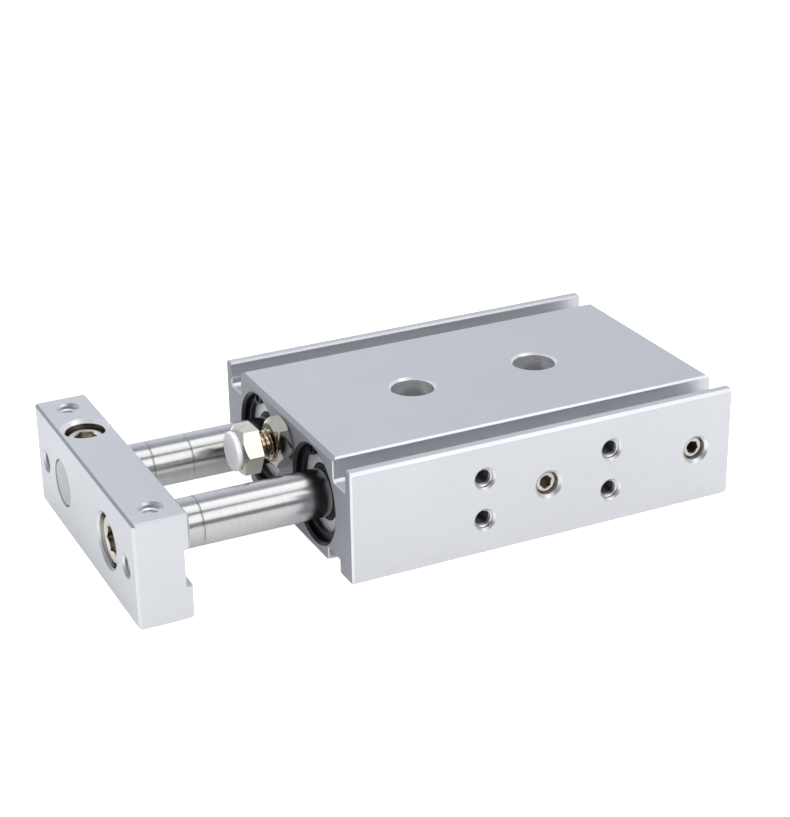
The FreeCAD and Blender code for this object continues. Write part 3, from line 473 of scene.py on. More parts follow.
def calculate_vector(tree, operation, first, second=None, output="Vector"):
    """Result of a sum on one or two vectors."""
    inputs = {0: first} if second is None else {0: first, 1: second}
    return add_node(tree, "ShaderNodeVectorMath", inputs, operation=operation).outputs[output]


def weigh(tree, *parts):
    """Sum of values, each times its weight."""
    total = None
    for value, weight in parts:
        part = calculate(tree, "MULTIPLY", value, weight)
        total = part if total is None else calculate(tree, "ADD", total, part)
    return total


def spread(tree, value, from_low, from_high, to_low, to_high):
    """Value moved from one range to another, and held inside it."""
    inputs = {
        "Value": value, "From Min": from_low, "From Max": from_high, "To Min": to_low, "To Max": to_high,
    }
    return add_node(tree, "ShaderNodeMapRange", inputs).outputs["Result"]


def from_noise(tree, noise, low, high):
    """Noise moved to the range between two values."""
    return spread(tree, noise, *NOISE_RANGE, low, high)


def blend_colours(tree, share, first, second):
    inputs = {"Factor": share, "A": first, "B": second}
    return add_node(tree, "ShaderNodeMix", inputs, data_type="RGBA").outputs["Result"]


def blend_values(tree, share, first, second):
    return add_node(tree, "ShaderNodeMix", {"Factor": share, "A": first, "B": second}).outputs["Result"]


def new_group(name, inputs, outputs):
    """Empty shader node group with named sockets."""
    group = bpy.data.node_groups.new(name, "ShaderNodeTree")
    for socket, kind, value in inputs:
        item = group.interface.new_socket(socket, in_out="INPUT", socket_type=kind)
        item.default_value = value
    for socket in outputs:
        group.interface.new_socket(socket, in_out="OUTPUT", socket_type="NodeSocketFloat")
    return group, group.nodes.new("NodeGroupInput").outputs, group.nodes.new("NodeGroupOutput").inputs


def build_fine_grain():
    """Even satin grain with a slower cloud under it."""
    sockets = [("Vector", "NodeSocketVector", (0, 0, 0)), ("Scale", "NodeSocketFloat", 4000)]
    group, given, result = new_group("fine_grain", sockets, ["Tone", "Cloud"])
    grain = add_node(group, "ShaderNodeTexNoise", {
        "Vector": given["Vector"], "Scale": given["Scale"], "Detail": 3, "Roughness": 0.6,
    })
    slow = calculate(group, "MULTIPLY", given["Scale"], CLOUD_SCALE)
    cloud = add_node(group, "ShaderNodeTexNoise", {
        "Vector": given["Vector"], "Scale": slow, "Detail": 4, "Roughness": 0.55,
    })
    group.links.new(grain.outputs["Fac"], result["Tone"])
    group.links.new(cloud.outputs["Fac"], result["Cloud"])
    return group


def build_drawn_lines():
    """Fine lines along one direction, as a die or a grinding wheel leaves them."""
    sockets = [
        ("Vector", "NodeSocketVector", (0, 0, 0)),
        ("Stretch", "NodeSocketVector", (0.02, 1, 1)),
        ("Scale", "NodeSocketFloat", 3000),
    ]
    group, given, result = new_group("drawn_lines", sockets, ["Tone"])
    drawn = calculate_vector(group, "MULTIPLY", given["Vector"], given["Stretch"])
    lines = add_node(group, "ShaderNodeTexNoise", {
        "Vector": drawn, "Scale": given["Scale"], "Detail": 3, "Roughness": 0.65,
    })
    group.links.new(lines.outputs["Fac"], result["Tone"])
    return group


def build_turning_rings():
    """Tool marks round an axis, a mask of what is within reach of it, and the distance along it."""
    sockets = [
        ("Vector", "NodeSocketVector", (0, 0, 0)),
        ("Centre", "NodeSocketVector", (0, 0, 0)),
        ("Across", "NodeSocketVector", (0, 1, 1)),
        ("Along", "NodeSocketVector", (1, 0, 0)),
        ("Spacing", "NodeSocketFloat", 0.2 * MM),
        ("Reach", "NodeSocketFloat", 10 * MM),
    ]
    group, given, result = new_group("turning_rings", sockets, ["Tone", "Mask", "Distance"])
    rest = calculate_vector(group, "SUBTRACT", given["Vector"], given["Centre"])
    flat = calculate_vector(group, "MULTIPLY", rest, given["Across"])
    radius = calculate_vector(group, "LENGTH", flat, output="Value")
    depth = calculate_vector(group, "DOT_PRODUCT", rest, given["Along"], output="Value")
    count = calculate(group, "DIVIDE", calculate(group, "ADD", radius, depth), given["Spacing"])
    turning = {"W": count, "Scale": 1.0, "Detail": 2}
    marks = add_node(group, "ShaderNodeTexNoise", turning, noise_dimensions="1D")
    margin = calculate(group, "ADD", given["Reach"], MASK_EDGE)
    group.links.new(marks.outputs["Fac"], result["Tone"])
    group.links.new(spread(group, radius, margin, given["Reach"], 0, 1), result["Mask"])
    group.links.new(calculate(group, "ABSOLUTE", depth), result["Distance"])
    return group


def build_handling_marks():
    """Soft smudges and a few hair lines where hands and tools have been."""
    sockets = [("Vector", "NodeSocketVector", (0, 0, 0)), ("Scale", "NodeSocketFloat", 60)]
    group, given, result = new_group("handling_marks", sockets, ["Smudge", "Hairs"])
    smudge = add_node(group, "ShaderNodeTexNoise", {
        "Vector": given["Vector"], "Scale": given["Scale"], "Detail": 5, "Roughness": 0.6, "Distortion": 0.6,
    })
    fine = calculate(group, "MULTIPLY", given["Scale"], HAIR_SCALE)
    hairs = add_node(group, "ShaderNodeTexNoise", {
        "Vector": given["Vector"], "Scale": fine, "Detail": 2, "Distortion": 3.0,
    })
    line = calculate(group, "ABSOLUTE", calculate(group, "SUBTRACT", hairs.outputs["Fac"], 0.5))
    group.links.new(smudge.outputs["Fac"], result["Smudge"])
    group.links.new(spread(group, line, 0, HAIR_WIDTH, 1, 0), result["Hairs"])
    return group


def build_chamfer_masks():
    """Masks of small chamfers between two faces: those along the sides, and those across the ends."""
    sockets = [("Normal", "NodeSocketVector", (0, 0, 1))]
    group, given, result = new_group("chamfers", sockets, ["Side", "End"])
    split = add_node(group, "ShaderNodeSeparateXYZ", {"Vector": given["Normal"]}).outputs
    slant = {}
    for first, second in (("X", "Y"), ("Y", "Z"), ("X", "Z")):
        product = calculate(group, "ABSOLUTE", calculate(group, "MULTIPLY", split[first], split[second]))
        slant[first + second] = spread(group, product, *CHAMFER_SLANT, 0, 1)
    group.links.new(calculate(group, "MAXIMUM", slant["XY"], slant["YZ"]), result["Side"])
    group.links.new(slant["XZ"], result["End"])
    return group


GRAIN = build_fine_grain()
LINES = build_drawn_lines()
RINGS = build_turning_rings()
MARKS = build_handling_marks()
CHAMFERS = build_chamfer_masks()


def use_group(tree, group, **inputs):
    """Places a node group with its own values and gives its outputs."""
    return add_node(tree, "ShaderNodeGroup", inputs, node_tree=group).outputs


def new_finish(name, constants):
    """Material with a Principled shader whose constant sockets are set, and its place node."""
    material = bpy.data.materials.new(name)
    material.use_nodes = True
    tree = material.node_tree
    shader = tree.nodes["Principled BSDF"]
    for socket, value in constants.items():
        shader.inputs[socket].default_value = value
    place = tree.nodes.new("ShaderNodeTexCoord")
    return material, tree, shader, place


def set_surface(tree, shader, colour, roughness, height, depth, strength):
    """Wires colour, roughness and relief into a shader."""
    tree.links.new(colour, shader.inputs["Base Color"])
    tree.links.new(roughness, shader.inputs["Roughness"])
    bump = add_node(tree, "ShaderNodeBump", {"Strength": strength, "Distance": depth, "Height": height})
    tree.links.new(bump.outputs["Normal"], shader.inputs["Normal"])


def mirrored(tree, place):
    """Object place with both sides of the middle planes folded together, for features that come in pairs."""
    return calculate_vector(tree, "ABSOLUTE", place.outputs["Object"])


def deep_mask(tree, distance, rim):
    """Share of the painted colour deep in a hole: none at its rim, all of it a little further in."""
    return spread(tree, distance, rim, rim - SHADE_DEPTH, 0, 1)


def pocket_mask(tree, rings, rim):
    """Mask of a turned pocket; one with a rim begins below it and ends at the tap's reach."""
    mask = rings["Mask"]
    if rim:
        floor = rim - TAP_REACH
        mask = calculate(tree, "MULTIPLY", mask, deep_mask(tree, rings["Distance"], rim))
        above_floor = spread(tree, rings["Distance"], floor - TAP_EDGE, floor, 0, 1)
        mask = calculate(tree, "MULTIPLY", mask, above_floor)
    return mask


def groove_light_mask(tree, split):
    """Mask of the walls and floors of the two sensor grooves, which are painted lighter against the shade in
    them.
    """
    mask = 1.0
    for axis, start, end in GROOVE_WALLS:
        mask = calculate(tree, "MULTIPLY", spread(tree, split[axis], start * MM, end * MM, 0, 1), mask)
    return mask


def shaded_end_mask(tree, along, slant, station):
    """Mask of the machined ends at a station along X, with the chamfers that lead to them: a rougher finish,
    darkened by painted shade.
    """
    face, slope = (
        spread(tree, along, station - start, station - end, 0, 1) for start, end in (END_FACE, END_SLOPE)
    )
    return calculate(tree, "MAXIMUM", face, calculate(tree, "MULTIPLY", slope, slant))


def painted_highlight_mask(tree, across, slant):
    """Mask of the chamfers along the sides, which take a painted highlight, without the inner edges of the
    fins.
    """
    limits = {0: across, 1: FIN_EDGE, 2: FIN_EDGE_WIDTH}
    inner = add_node(tree, "ShaderNodeMath", limits, operation="COMPARE").outputs[0]
    return spread(tree, calculate(tree, "SUBTRACT", slant, inner), 0, 1, 0, 1)


def anodised_finish(name, light, dark, matt, pairs, singles, machined_ends_painted_shade, edges, grooves=None):
    """Satin anodised aluminium, drawn along X, with turned pockets, own ends, grooves and chamfers, partly
    painted light and shade.
    """
    material, tree, shader, place = new_finish(name, {})
    spot = place.outputs["Object"]
    fold = mirrored(tree, place)
    split = add_node(tree, "ShaderNodeSeparateXYZ", {"Vector": fold}).outputs
    grain = use_group(tree, GRAIN, Vector=spot, Scale=5200.0)
    lines = use_group(tree, LINES, Vector=spot, Stretch=(0.015, 1, 1), Scale=2600.0)
    marks = use_group(tree, MARKS, Vector=spot, Scale=45.0)
    chamfer = use_group(tree, CHAMFERS, Normal=place.outputs["Normal"])
    tone = weigh(tree, (grain["Tone"], 0.6), (lines["Tone"], 0.2), (grain["Cloud"], 0.2))
    height = tone
    colour = blend_colours(tree, spread(tree, tone, *TONE_RANGE, 0, 1), dark, light)
    roughness = from_noise(tree, marks["Smudge"], matt * 0.92, matt * 1.08)
    metal = from_noise(tree, marks["Smudge"], 1.0, 0.97)

    # Ends: rougher and less metallic, and darker by painted shade
    end = shaded_end_mask(tree, split["X"], chamfer["End"], machined_ends_painted_shade["station"])
    colour = blend_colours(tree, end, colour, machined_ends_painted_shade["shade"])
    roughness = blend_values(tree, end, roughness, machined_ends_painted_shade["gloss"])
    metal = blend_values(tree, end, metal, machined_ends_painted_shade["metal"])
    # Grooves: painted light against the shade in them
    if grooves:
        colour = blend_colours(tree, groove_light_mask(tree, split), colour, grooves)
    # Side chamfers: lighter colour as a painted highlight
    colour = blend_colours(tree, painted_highlight_mask(tree, split["Y"], chamfer["Side"]), colour, edges)

    # Turned pockets: turning marks, with pocket colours that hold painted shade, painted light and painted
    # highlights
    for vector, pocket in [(fold, pocket) for pocket in pairs] + [(spot, pocket) for pocket in singles]:
        across, along = pocket["about"]
        rings = use_group(tree, RINGS, Vector=vector, Centre=pocket["axis"], Across=across, Along=along,
                          Spacing=POCKET_SPACING, Reach=pocket["reach"])
        mask = pocket_mask(tree, rings, pocket.get("rim"))
        shade = pocket["shade"]
        dark_shade = tuple(POCKET_DARK * level for level in shade[:3]) + (1,)
        colour = blend_colours(tree, mask, colour, blend_colours(tree, rings["Tone"], dark_shade, shade))
        height = blend_values(tree, mask, height, calculate(tree, "MULTIPLY", rings["Tone"], POCKET_RELIEF))
        roughness = blend_values(tree, mask, roughness, pocket["gloss"])
        metal = blend_values(tree, mask, metal, pocket["metal"])
    set_surface(tree, shader, colour, roughness, height, depth=0.004 * MM, strength=0.6)
    tree.links.new(metal, shader.inputs["Metallic"])
    return material


def turned_finish(name, light, dark, gloss, metallic=1.0):
    """Turned metal with rings about the axes of the two bores."""
    material, tree, shader, place = new_finish(name, {"Metallic": metallic})
    across, along = ROUND_X
    rings = use_group(tree, RINGS, Vector=mirrored(tree, place), Centre=BORE_AXIS, Across=across, Along=along,
                      Spacing=TURNING_SPACING, Reach=EVERYWHERE)
    grain = use_group(tree, GRAIN, Vector=place.outputs["Object"], Scale=6000.0)
    tone = weigh(tree, (rings["Tone"], 0.6), (grain["Tone"], 0.4))
    colour = blend_colours(tree, from_noise(tree, tone, 0, 1), dark, light)
    roughness = from_noise(tree, grain["Cloud"], gloss * 0.85, gloss * 1.15)
    set_surface(tree, shader, colour, roughness, tone, depth=0.003 * MM, strength=0.6)
    return material


def plated_finish(name, light, dark, gloss):
    """Plated steel: smooth, slightly clouded, with hair lines from handling."""
    material, tree, shader, place = new_finish(name, {"Metallic": 1.0})
    spot = place.outputs["Object"]
    grain = use_group(tree, GRAIN, Vector=spot, Scale=7000.0)
    marks = use_group(tree, MARKS, Vector=spot, Scale=260.0)
    colour = blend_colours(tree, from_noise(tree, marks["Smudge"], 0, 1), dark, light)
    smooth = from_noise(tree, marks["Smudge"], gloss * 1.2, gloss * 0.85)
    roughness = calculate(tree, "ADD", smooth, calculate(tree, "MULTIPLY", marks["Hairs"], 0.08))
    set_surface(tree, shader, colour, roughness, grain["Tone"], depth=0.0015 * MM, strength=0.5)
    return material


def cut_thread_finish(name, centre, along, rim, shade, gloss, metal):
    """Cut thread, bright at the mouth of its hole, with a painted colour further in: painted shade in the
    housing, painted light in the plate.
    """
    material, tree, shader, place = new_finish(name, {"Metallic": metal})
    rings = use_group(tree, RINGS, Vector=mirrored(tree, place), Centre=centre, Along=along)
    grain = use_group(tree, GRAIN, Vector=place.outputs["Object"], Scale=7000.0)
    bright = blend_colours(tree, grain["Tone"], (0.58, 0.59, 0.61, 1), (0.72, 0.73, 0.75, 1))
    colour = blend_colours(tree, deep_mask(tree, rings["Distance"], rim), bright, shade)
    roughness = from_noise(tree, grain["Cloud"], gloss * 0.65, gloss * 0.85)
    set_surface(tree, shader, colour, roughness, grain["Tone"], depth=0.002 * MM, strength=0.5)
    return material


def ground_chrome_finish():
    """Hard chrome, ground round the rod and polished."""
    material, tree, shader, place = new_finish("ground_chrome", {"Metallic": 1.0})
    spot = place.outputs["Object"]
    lines = use_group(tree, LINES, Vector=spot, Stretch=(1, 0.02, 0.02), Scale=9000.0)
    marks = use_group(tree, MARKS, Vector=spot, Scale=90.0)
    tone = from_noise(tree, lines["Tone"], 0, 1)
    colour = blend_colours(tree, tone, (0.465, 0.465, 0.47, 1), (0.55, 0.55, 0.55, 1))
    ground = from_noise(tree, lines["Tone"], 0.17, 0.22)
    roughness = calculate(tree, "ADD", ground, calculate(tree, "MULTIPLY", marks["Smudge"], 0.03))
    set_surface(tree, shader, colour, roughness, lines["Tone"], depth=0.0012 * MM, strength=0.5)
    return material


def dull_finish(name, light, dark, gloss, scale, depth, constants):
    """Rubber, ferrite, urethane or blackened steel: a soft grain with slow changes of shade."""
    material, tree, shader, place = new_finish(name, constants)
    spot = place.outputs["Object"]
    grain = use_group(tree, GRAIN, Vector=spot, Scale=scale)
    marks = use_group(tree, MARKS, Vector=spot, Scale=120.0)
    colour = blend_colours(tree, from_noise(tree, grain["Cloud"], 0, 1), dark, light)
    roughness = from_noise(tree, marks["Smudge"], gloss * 0.88, gloss * 1.12)
    set_surface(tree, shader, colour, roughness, grain["Tone"], depth, strength=0.6)
    return material


HOUSING_PAIRS = [
    # Chamfers of the counterbores, bores, walls of the counterbores, side taps
    # Counterbore chamfers: near-white painted highlight
    {"axis": MOUNT_AXIS, "about": ROUND_Z, "reach": 5.0 * MM,
     "shade": (0.96, 0.96, 0.97, 1), "gloss": 0.35, "metal": 0.6},
    # Bores: near-black painted shade
    {"axis": BORE_AXIS, "about": ROUND_X, "reach": 10.6 * MM,
     "shade": (0.06, 0.06, 0.062, 1), "gloss": 0.36, "metal": 1.0},
    # Counterbore walls: turning marks, painted light against the shade inside them
    {"axis": MOUNT_AXIS, "about": ROUND_Z, "reach": 4.55 * MM,
     "shade": (0.90, 0.90, 0.91, 1), "gloss": 0.24, "metal": 0.82},
    # Side taps: painted shade from a little below the rim
    {"axis": (SIDE_TAP_X, 0, AXIS_HEIGHT - SIDE_TAP_RISE), "about": ROUND_Y, "reach": TAP_WALL,
     "rim": SIDE_RIM, **TAP_SHADE},
    {"axis": (SIDE_TAP_X, 0, AXIS_HEIGHT + SIDE_TAP_RISE), "about": ROUND_Y, "reach": TAP_WALL,
     "rim": SIDE_RIM, **TAP_SHADE},
]
# Open ports: painted shade from a little below the rim
HOUSING_SINGLES = [
    {"axis": (x, 0, AXIS_HEIGHT), "about": ROUND_Y, "reach": PORT_WALL, "rim": PORT_RIM, **TAP_SHADE}
    for x in PORT_X
]
PLATE_PAIRS = [
    # Taps in the top and the bottom, taps in the front, both with painted light further in
    {"axis": (PLATE_X, PLATE_TAP_Y, AXIS_HEIGHT), "about": ROUND_Z, "reach": TAP_WALL,
     "rim": PLATE_RIM, **PLATE_TAP_PAINTED_LIGHT},
    {"axis": (0, PLATE_TAP_Y, AXIS_HEIGHT), "about": ROUND_X, "reach": TAP_WALL,
     "rim": FRONT_RIM, **PLATE_TAP_PAINTED_LIGHT},
]
PLATE_SINGLES = [
    # Seat of the cap screw, mouth and wall of the clamp screw's hole
    {"axis": BORE_AXIS, "about": ROUND_X, "reach": 5.55 * MM,
     "shade": (0.80, 0.80, 0.82, 1), "gloss": 0.3, "metal": 1.0},
    # Mouth of the clamp screw's hole: near-white painted highlight
    {"axis": CLAMP_AXIS, "about": ROUND_Z, "reach": 4.85 * MM,
     "shade": (0.92, 0.92, 0.93, 1), "gloss": 0.3, "metal": 0.5},
    # Wall of the clamp screw's hole: dark painted shade
    {"axis": CLAMP_AXIS, "about": ROUND_Z, "reach": 4.02 * MM,
     "shade": (0.24, 0.21, 0.17, 1), "gloss": 0.3, "metal": 1.0},
]

FINISH = {
    "housing": anodised_finish(
        "anodised_housing", (0.65, 0.66, 0.68, 1), (0.60, 0.61, 0.63, 1), 0.415,
        pairs=HOUSING_PAIRS,
        singles=HOUSING_SINGLES,
        # Housing ends and their chamfers darker by painted shade
        machined_ends_painted_shade={"station": 43.5 * MM, "shade": (0.36, 0.37, 0.40, 1), "gloss": 0.65, "metal": 0.45},
        # Painted highlight on the side chamfers
        edges=(0.80, 0.81, 0.83, 1),
        # Painted light in the grooves
        grooves=(0.67, 0.68, 0.70, 1),
    ),
    "plate": anodised_finish(
        "anodised_plate", (0.67, 0.68, 0.70, 1), (0.62, 0.63, 0.65, 1), 0.45,
        pairs=PLATE_PAIRS,
        singles=PLATE_SINGLES,
        # Only the plate's front chamfers, darker by painted shade
        machined_ends_painted_shade={"station": 87.0 * MM, "shade": (0.42, 0.44, 0.49, 1), "gloss": 0.45, "metal": 1.0},
        # Painted highlight on the side chamfers
        edges=(0.72, 0.73, 0.75, 1),
    ),
    "cover_aluminium": turned_finish(
        "turned_cover", (0.70, 0.71, 0.73, 1), (0.60, 0.61, 0.63, 1), 0.34, metallic=0.4,
    ),
    "rod_chrome": ground_chrome_finish(),
    "ring_steel": dull_finish(
        "blackened_steel", (0.016, 0.016, 0.018, 1), (0.008, 0.008, 0.009, 1), 0.36, 7000.0, 0.002 * MM,
        {"Specular IOR Level": 0.25},
    ),
    "nickel_steel": plated_finish("nickel_plate", (0.66, 0.625, 0.56, 1), (0.55, 0.515, 0.45, 1), 0.09),
    "bush_bronze": turned_finish("sintered_bronze", (0.62, 0.44, 0.24, 1), (0.46, 0.31, 0.16, 1), 0.4),
    "seal_rubber": dull_finish(
        "black_rubber", (0.018, 0.018, 0.019, 1), (0.010, 0.010, 0.011, 1), 0.55, 5000.0, 0.004 * MM,
        {"Specular IOR Level": 0.3},
    ),
    "magnet_ferrite": dull_finish(
        "ferrite", (0.07, 0.07, 0.072, 1), (0.04, 0.04, 0.042, 1), 0.6, 4000.0, 0.006 * MM, {},
    ),
    "bumper_urethane": dull_finish(
        "white_urethane", (0.99, 0.99, 0.97, 1), (0.98, 0.98, 0.96, 1), 0.4, 3000.0, 0.003 * MM,
        {
            "Specular IOR Level": 0.4,
            "Subsurface Weight": 1.0,
            "Subsurface Radius": (1, 1, 0.9),
            "Subsurface Scale": 2.5 * MM,
        },
    ),
    # Threads: painted shade deep in the housing's holes, painted light deep in the plate's
    "side_thread": cut_thread_finish("side_thread", (0, 0, 0), (0, 1, 0), SIDE_RIM, **TAP_SHADE),
    "plate_thread": cut_thread_finish(
        "plate_thread", (0, 0, AXIS_HEIGHT), (0, 0, 1), PLATE_RIM, **PLATE_TAP_PAINTED_LIGHT,
    ),
    "front_thread": cut_thread_finish("front_thread", (0, 0, 0), (1, 0, 0), FRONT_RIM, **PLATE_TAP_PAINTED_LIGHT),
    "bolt_thread": plated_finish("rolled_thread", (0.56, 0.47, 0.35, 1), (0.39, 0.31, 0.22, 1), 0.14),
    "plug": plated_finish("plug_plate", (0.60, 0.57, 0.51, 1), (0.44, 0.41, 0.36, 1), 0.12),
    # Dark colour inside the plugs' sockets: painted shade
    "plug_socket": plated_finish("plug_socket", (0.075, 0.06, 0.045, 1), (0.04, 0.032, 0.025, 1), 0.2),
    "socket": plated_finish("broached_socket", (0.66, 0.62, 0.54, 1), (0.52, 0.47, 0.40, 1), 0.16),
    "rod_end": turned_finish("faced_rod_end", (0.43, 0.43, 0.44, 1), (0.36, 0.36, 0.37, 1), 0.3),
}
for subpart in frame["record"]["subparts"]:
    solid = frame["nodes"][subpart["node"]]
    finish_name = subpart["node"] if subpart["node"] in FINISH else subpart["material_slot"]
    solid.data.materials.clear()
    solid.data.materials.append(FINISH[finish_name])


# Pieces


def make_rod(side, tapped, line_count):
    """Ground rod with its tail, turned lines and chamfered end."""
    node = f"rod_{side}"
    axis, back, front = middle(node)
    radius = half_width(node)
    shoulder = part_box(f"piston_{side}")[1].x
    plate_low, plate_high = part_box("plate")
    outline = [(back, 0), (back, TAIL_RADIUS), (shoulder, TAIL_RADIUS), (shoulder, radius)]
    for count in reversed(range(line_count)):
        line = plate_low.x - ROD_LINE_SETBACK - count * ROD_LINE_SPACING
        outline += [
            (line - ROD_LINE_WIDTH / 2, radius),
            (line - ROD_LINE_WIDTH / 6, radius - ROD_LINE_DEPTH),
            (line + ROD_LINE_WIDTH / 6, radius - ROD_LINE_DEPTH),
            (line + ROD_LINE_WIDTH / 2, radius),
        ]
    outline += rounded([
        outline[-1],
        (front - ROD_END_CHAMFER, radius, ROD_END_CHAMFER / 3),
        (front, radius - ROD_END_CHAMFER, ROD_END_CHAMFER / 3),
        (front, ROD_TAP_RADIUS if tapped else 0),
    ])[1:]
    if tapped:
        outline += [(front - ROD_TAP_DEPTH, ROD_TAP_RADIUS), (front - ROD_TAP_DEPTH, 0)]
    rod = turn(f"ground_rod_{side}", outline)
    if not tapped:
        size = (CLAMP_FLAT_LENGTH, 4 * radius, 2 * radius)
        centre = ((plate_low.x + plate_high.x) / 2, 0, 2 * radius - CLAMP_FLAT_DEPTH)
        combine(rod, add_block("clamp_flat", size, centre), "DIFFERENCE")
    set_down(rod, axis)
    ends = [face.index for face in rod.data.polygons if face.normal.x > ALIGNED]
    hand_over(rod, "rod_assembly", "rod_chrome", node, "rod_end", ends)


def hexagon_blank(back, front, back_rim):
    """Corners of a turned blank for a hexagon, chamfered in front and, if asked, behind."""
    corner = HEXAGON_FLATS / sqrt(3)
    rim = HEXAGON_FLATS / 2 * HEXAGON_RIM
    over = corner * BLANK_OVERSIZE
    slope = (over - rim) * HEXAGON_SLOPE
    blank = [(back, rim), (back + slope, over)] if back_rim else [(back, over)]
    return blank + [(front - slope, over), (front, rim)]


def make_nut():
    """Thin lock nut with a countersunk hole and chamfered corners."""
    axis, back, front = middle("lock_nut")
    mouth = NUT_HOLE + NUT_SINK
    outline = [(back, mouth), *hexagon_blank(back, front, True), (front, mouth)]
    outline += [(front - NUT_SINK, NUT_HOLE), (back + NUT_SINK, NUT_HOLE), (back, mouth)]
    nut = turn("thin_lock_nut", outline)
    combine(nut, add_hexagon("flats", HEXAGON_FLATS, back - MM, front + MM), "INTERSECT")
    ease_corners(nut)
    set_down(nut, axis, twist=NUT_CORNER)
    hand_over(nut, "body", "nickel_steel", "lock_nut")


def make_bolt():
    """Adjuster bolt: cut thread, hexagon head and the hole for the bumper's stem."""
    axis, tip, top = middle("bumper_bolt")
    seat = top - HEAD_HEIGHT
    outline = [(seat, 0)] + hexagon_blank(seat, top, False)
    outline += [(top, STEM_HOLE), (top - STEM_HOLE_DEPTH, STEM_HOLE), (top - STEM_HOLE_DEPTH, 0)]
    bolt = turn("adjuster_bolt_threaded", outline)
    combine(bolt, add_hexagon("flats", HEXAGON_FLATS, seat - MM, top + MM), "INTERSECT")

    # One turn of the thread: root, flank, crest, flank, root
    crest = BOLT_PITCH * THREAD_CREST
    profile = [
        (0, BOLT_ROOT),
        (BOLT_PITCH / 8, BOLT_ROOT),
        (BOLT_PITCH / 2 - crest, BOLT_CREST),
        (BOLT_PITCH / 2 + crest, BOLT_CREST),
        (BOLT_PITCH * 7 / 8, BOLT_ROOT),
        (BOLT_PITCH, BOLT_ROOT),
    ]
    turns = int((seat - tip) / BOLT_PITCH) + BOLT_SPARE_TURNS
    start = tip - BOLT_RUN_OUT * BOLT_PITCH
    shank = wind("shank", [(start + x, r) for x, r in profile], BOLT_PITCH, turns, BOLT_STEPS)
    trim(shank, tip, seat + HEAD_HEIGHT / 4)
    combine(bolt, shank, "UNION")
    ease_corners(bolt)
    thread = [face.index for face in bolt.data.polygons if face.center.x < seat]
    set_down(bolt, axis, twist=HEAD_CORNER)
    hand_over(bolt, "adjuster_bolt", "nickel_steel", "bumper_bolt", "bolt_thread", thread)


def make_bumper():
    """White bumper disc with its stem."""
    axis, back, front = middle("stop_bumper")
    radius = half_width("stop_bumper")
    seat = back + STEM_LENGTH
    outline = rounded([
        (back, 0),
        (back, STEM_RADIUS, STEM_ROUND),
        (seat, STEM_RADIUS),
        (seat, radius, BUMPER_SEAT_ROUND),
        (front, radius, BUMPER_RIM),
        (front, 0),
    ], BUMPER_STEPS)
    bumper = turn("white_stop_disc", outline)
    set_down(bumper, axis)
    hand_over(bumper, "adjuster_bumper", "bumper_urethane", "stop_bumper")


def make_socket_screw(name, outline, flats, depth, twist, spot, facing, body, node,
                      finish="nickel_steel", inner="socket"):
    """Turned screw with a dished mouth and a hexagon socket that ends in a drill point."""
    top = outline[-1][0]
    corner = flats / sqrt(3)
    mouth = corner * SOCKET_MOUTH
    screw = turn(name, rounded(outline[:-1] + [(top, mouth), (top - mouth * SOCKET_DISH, 0)]))
    floor = top - depth * (1 - SOCKET_POINT)
    combine(screw, add_hexagon("socket", flats, floor, top + MM, depth * SOCKET_POINT), "DIFFERENCE")
    # Faces inside the socket take the inner finish; for the plugs it is painted shade
    recess = []
    for face in screw.data.polygons:
        inside = face.center.yz.length < corner
        if inside and top - RECESS_FLOOR * depth < face.center.x < top - RECESS_TOP * depth:
            recess.append(face.index)
    set_down(screw, spot, facing, twist)
    hand_over(screw, body, finish, node, inner, recess)


def make_plate_screws():
    """Cap screw in the end of rod A and set screw over rod B."""
    axis, tip, top = middle("plate_cap_screw")
    head = half_width("plate_cap_screw")
    seat = top - CAP_HEAD_HEIGHT
    outline = [
        (tip, 0),
        (tip, TAIL_RADIUS - SCREW_EDGE),
        (tip + SCREW_EDGE, TAIL_RADIUS),
        (seat, TAIL_RADIUS),
        (seat, head),
        (top - SCREW_EDGE, head, CAP_ROUND),
        (top, head - SCREW_EDGE, CAP_ROUND),
        (top, 0),
    ]
    make_socket_screw("low_head_screw", outline, CAP_SOCKET, CAP_SOCKET_DEPTH, CAP_TWIST, axis, "+X",
                      "rod_assembly", "plate_cap_screw")

    low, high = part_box("plate_set_screw")
    radius = half_width("plate_set_screw")
    spot = Vector(((low.x + high.x) / 2, (low.y + high.y) / 2, 0))
    outline = [
        (low.z, 0),
        (low.z, radius - 2 * SCREW_EDGE),
        (low.z + 2 * SCREW_EDGE, radius),
        (high.z - SCREW_EDGE, radius, CLAMP_ROUND),
        (high.z, radius - SCREW_EDGE, CLAMP_ROUND),
        (high.z, 0),
    ]
    make_socket_screw("clamp_set_screw", outline, CLAMP_SOCKET, CLAMP_SOCKET_DEPTH, CLAMP_TWIST, spot, "+Z",
                      "rod_assembly", "plate_set_screw")


def make_port_plugs():
    """Socket plugs in the two near ports."""
    for node, twist in PLUG_TWISTS:
        low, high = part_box(node)
        radius = (high.z - low.z) / 2
        spot = Vector(((low.x + high.x) / 2, 0, (low.z + high.z) / 2))
        outline = [
            (low.y, 0),
            (low.y, radius - SCREW_EDGE),
            (low.y + SCREW_EDGE, radius),
            (high.y - PLUG_EDGE, radius, PLUG_ROUND),
            (high.y, radius - PLUG_EDGE, PLUG_ROUND),
            (high.y, 0),
        ]
        make_socket_screw(f"socket_{node}", outline, PLUG_SOCKET, PLUG_SOCKET_DEPTH, twist, spot, "+Y",
                          "body", node, "plug", "plug_socket")


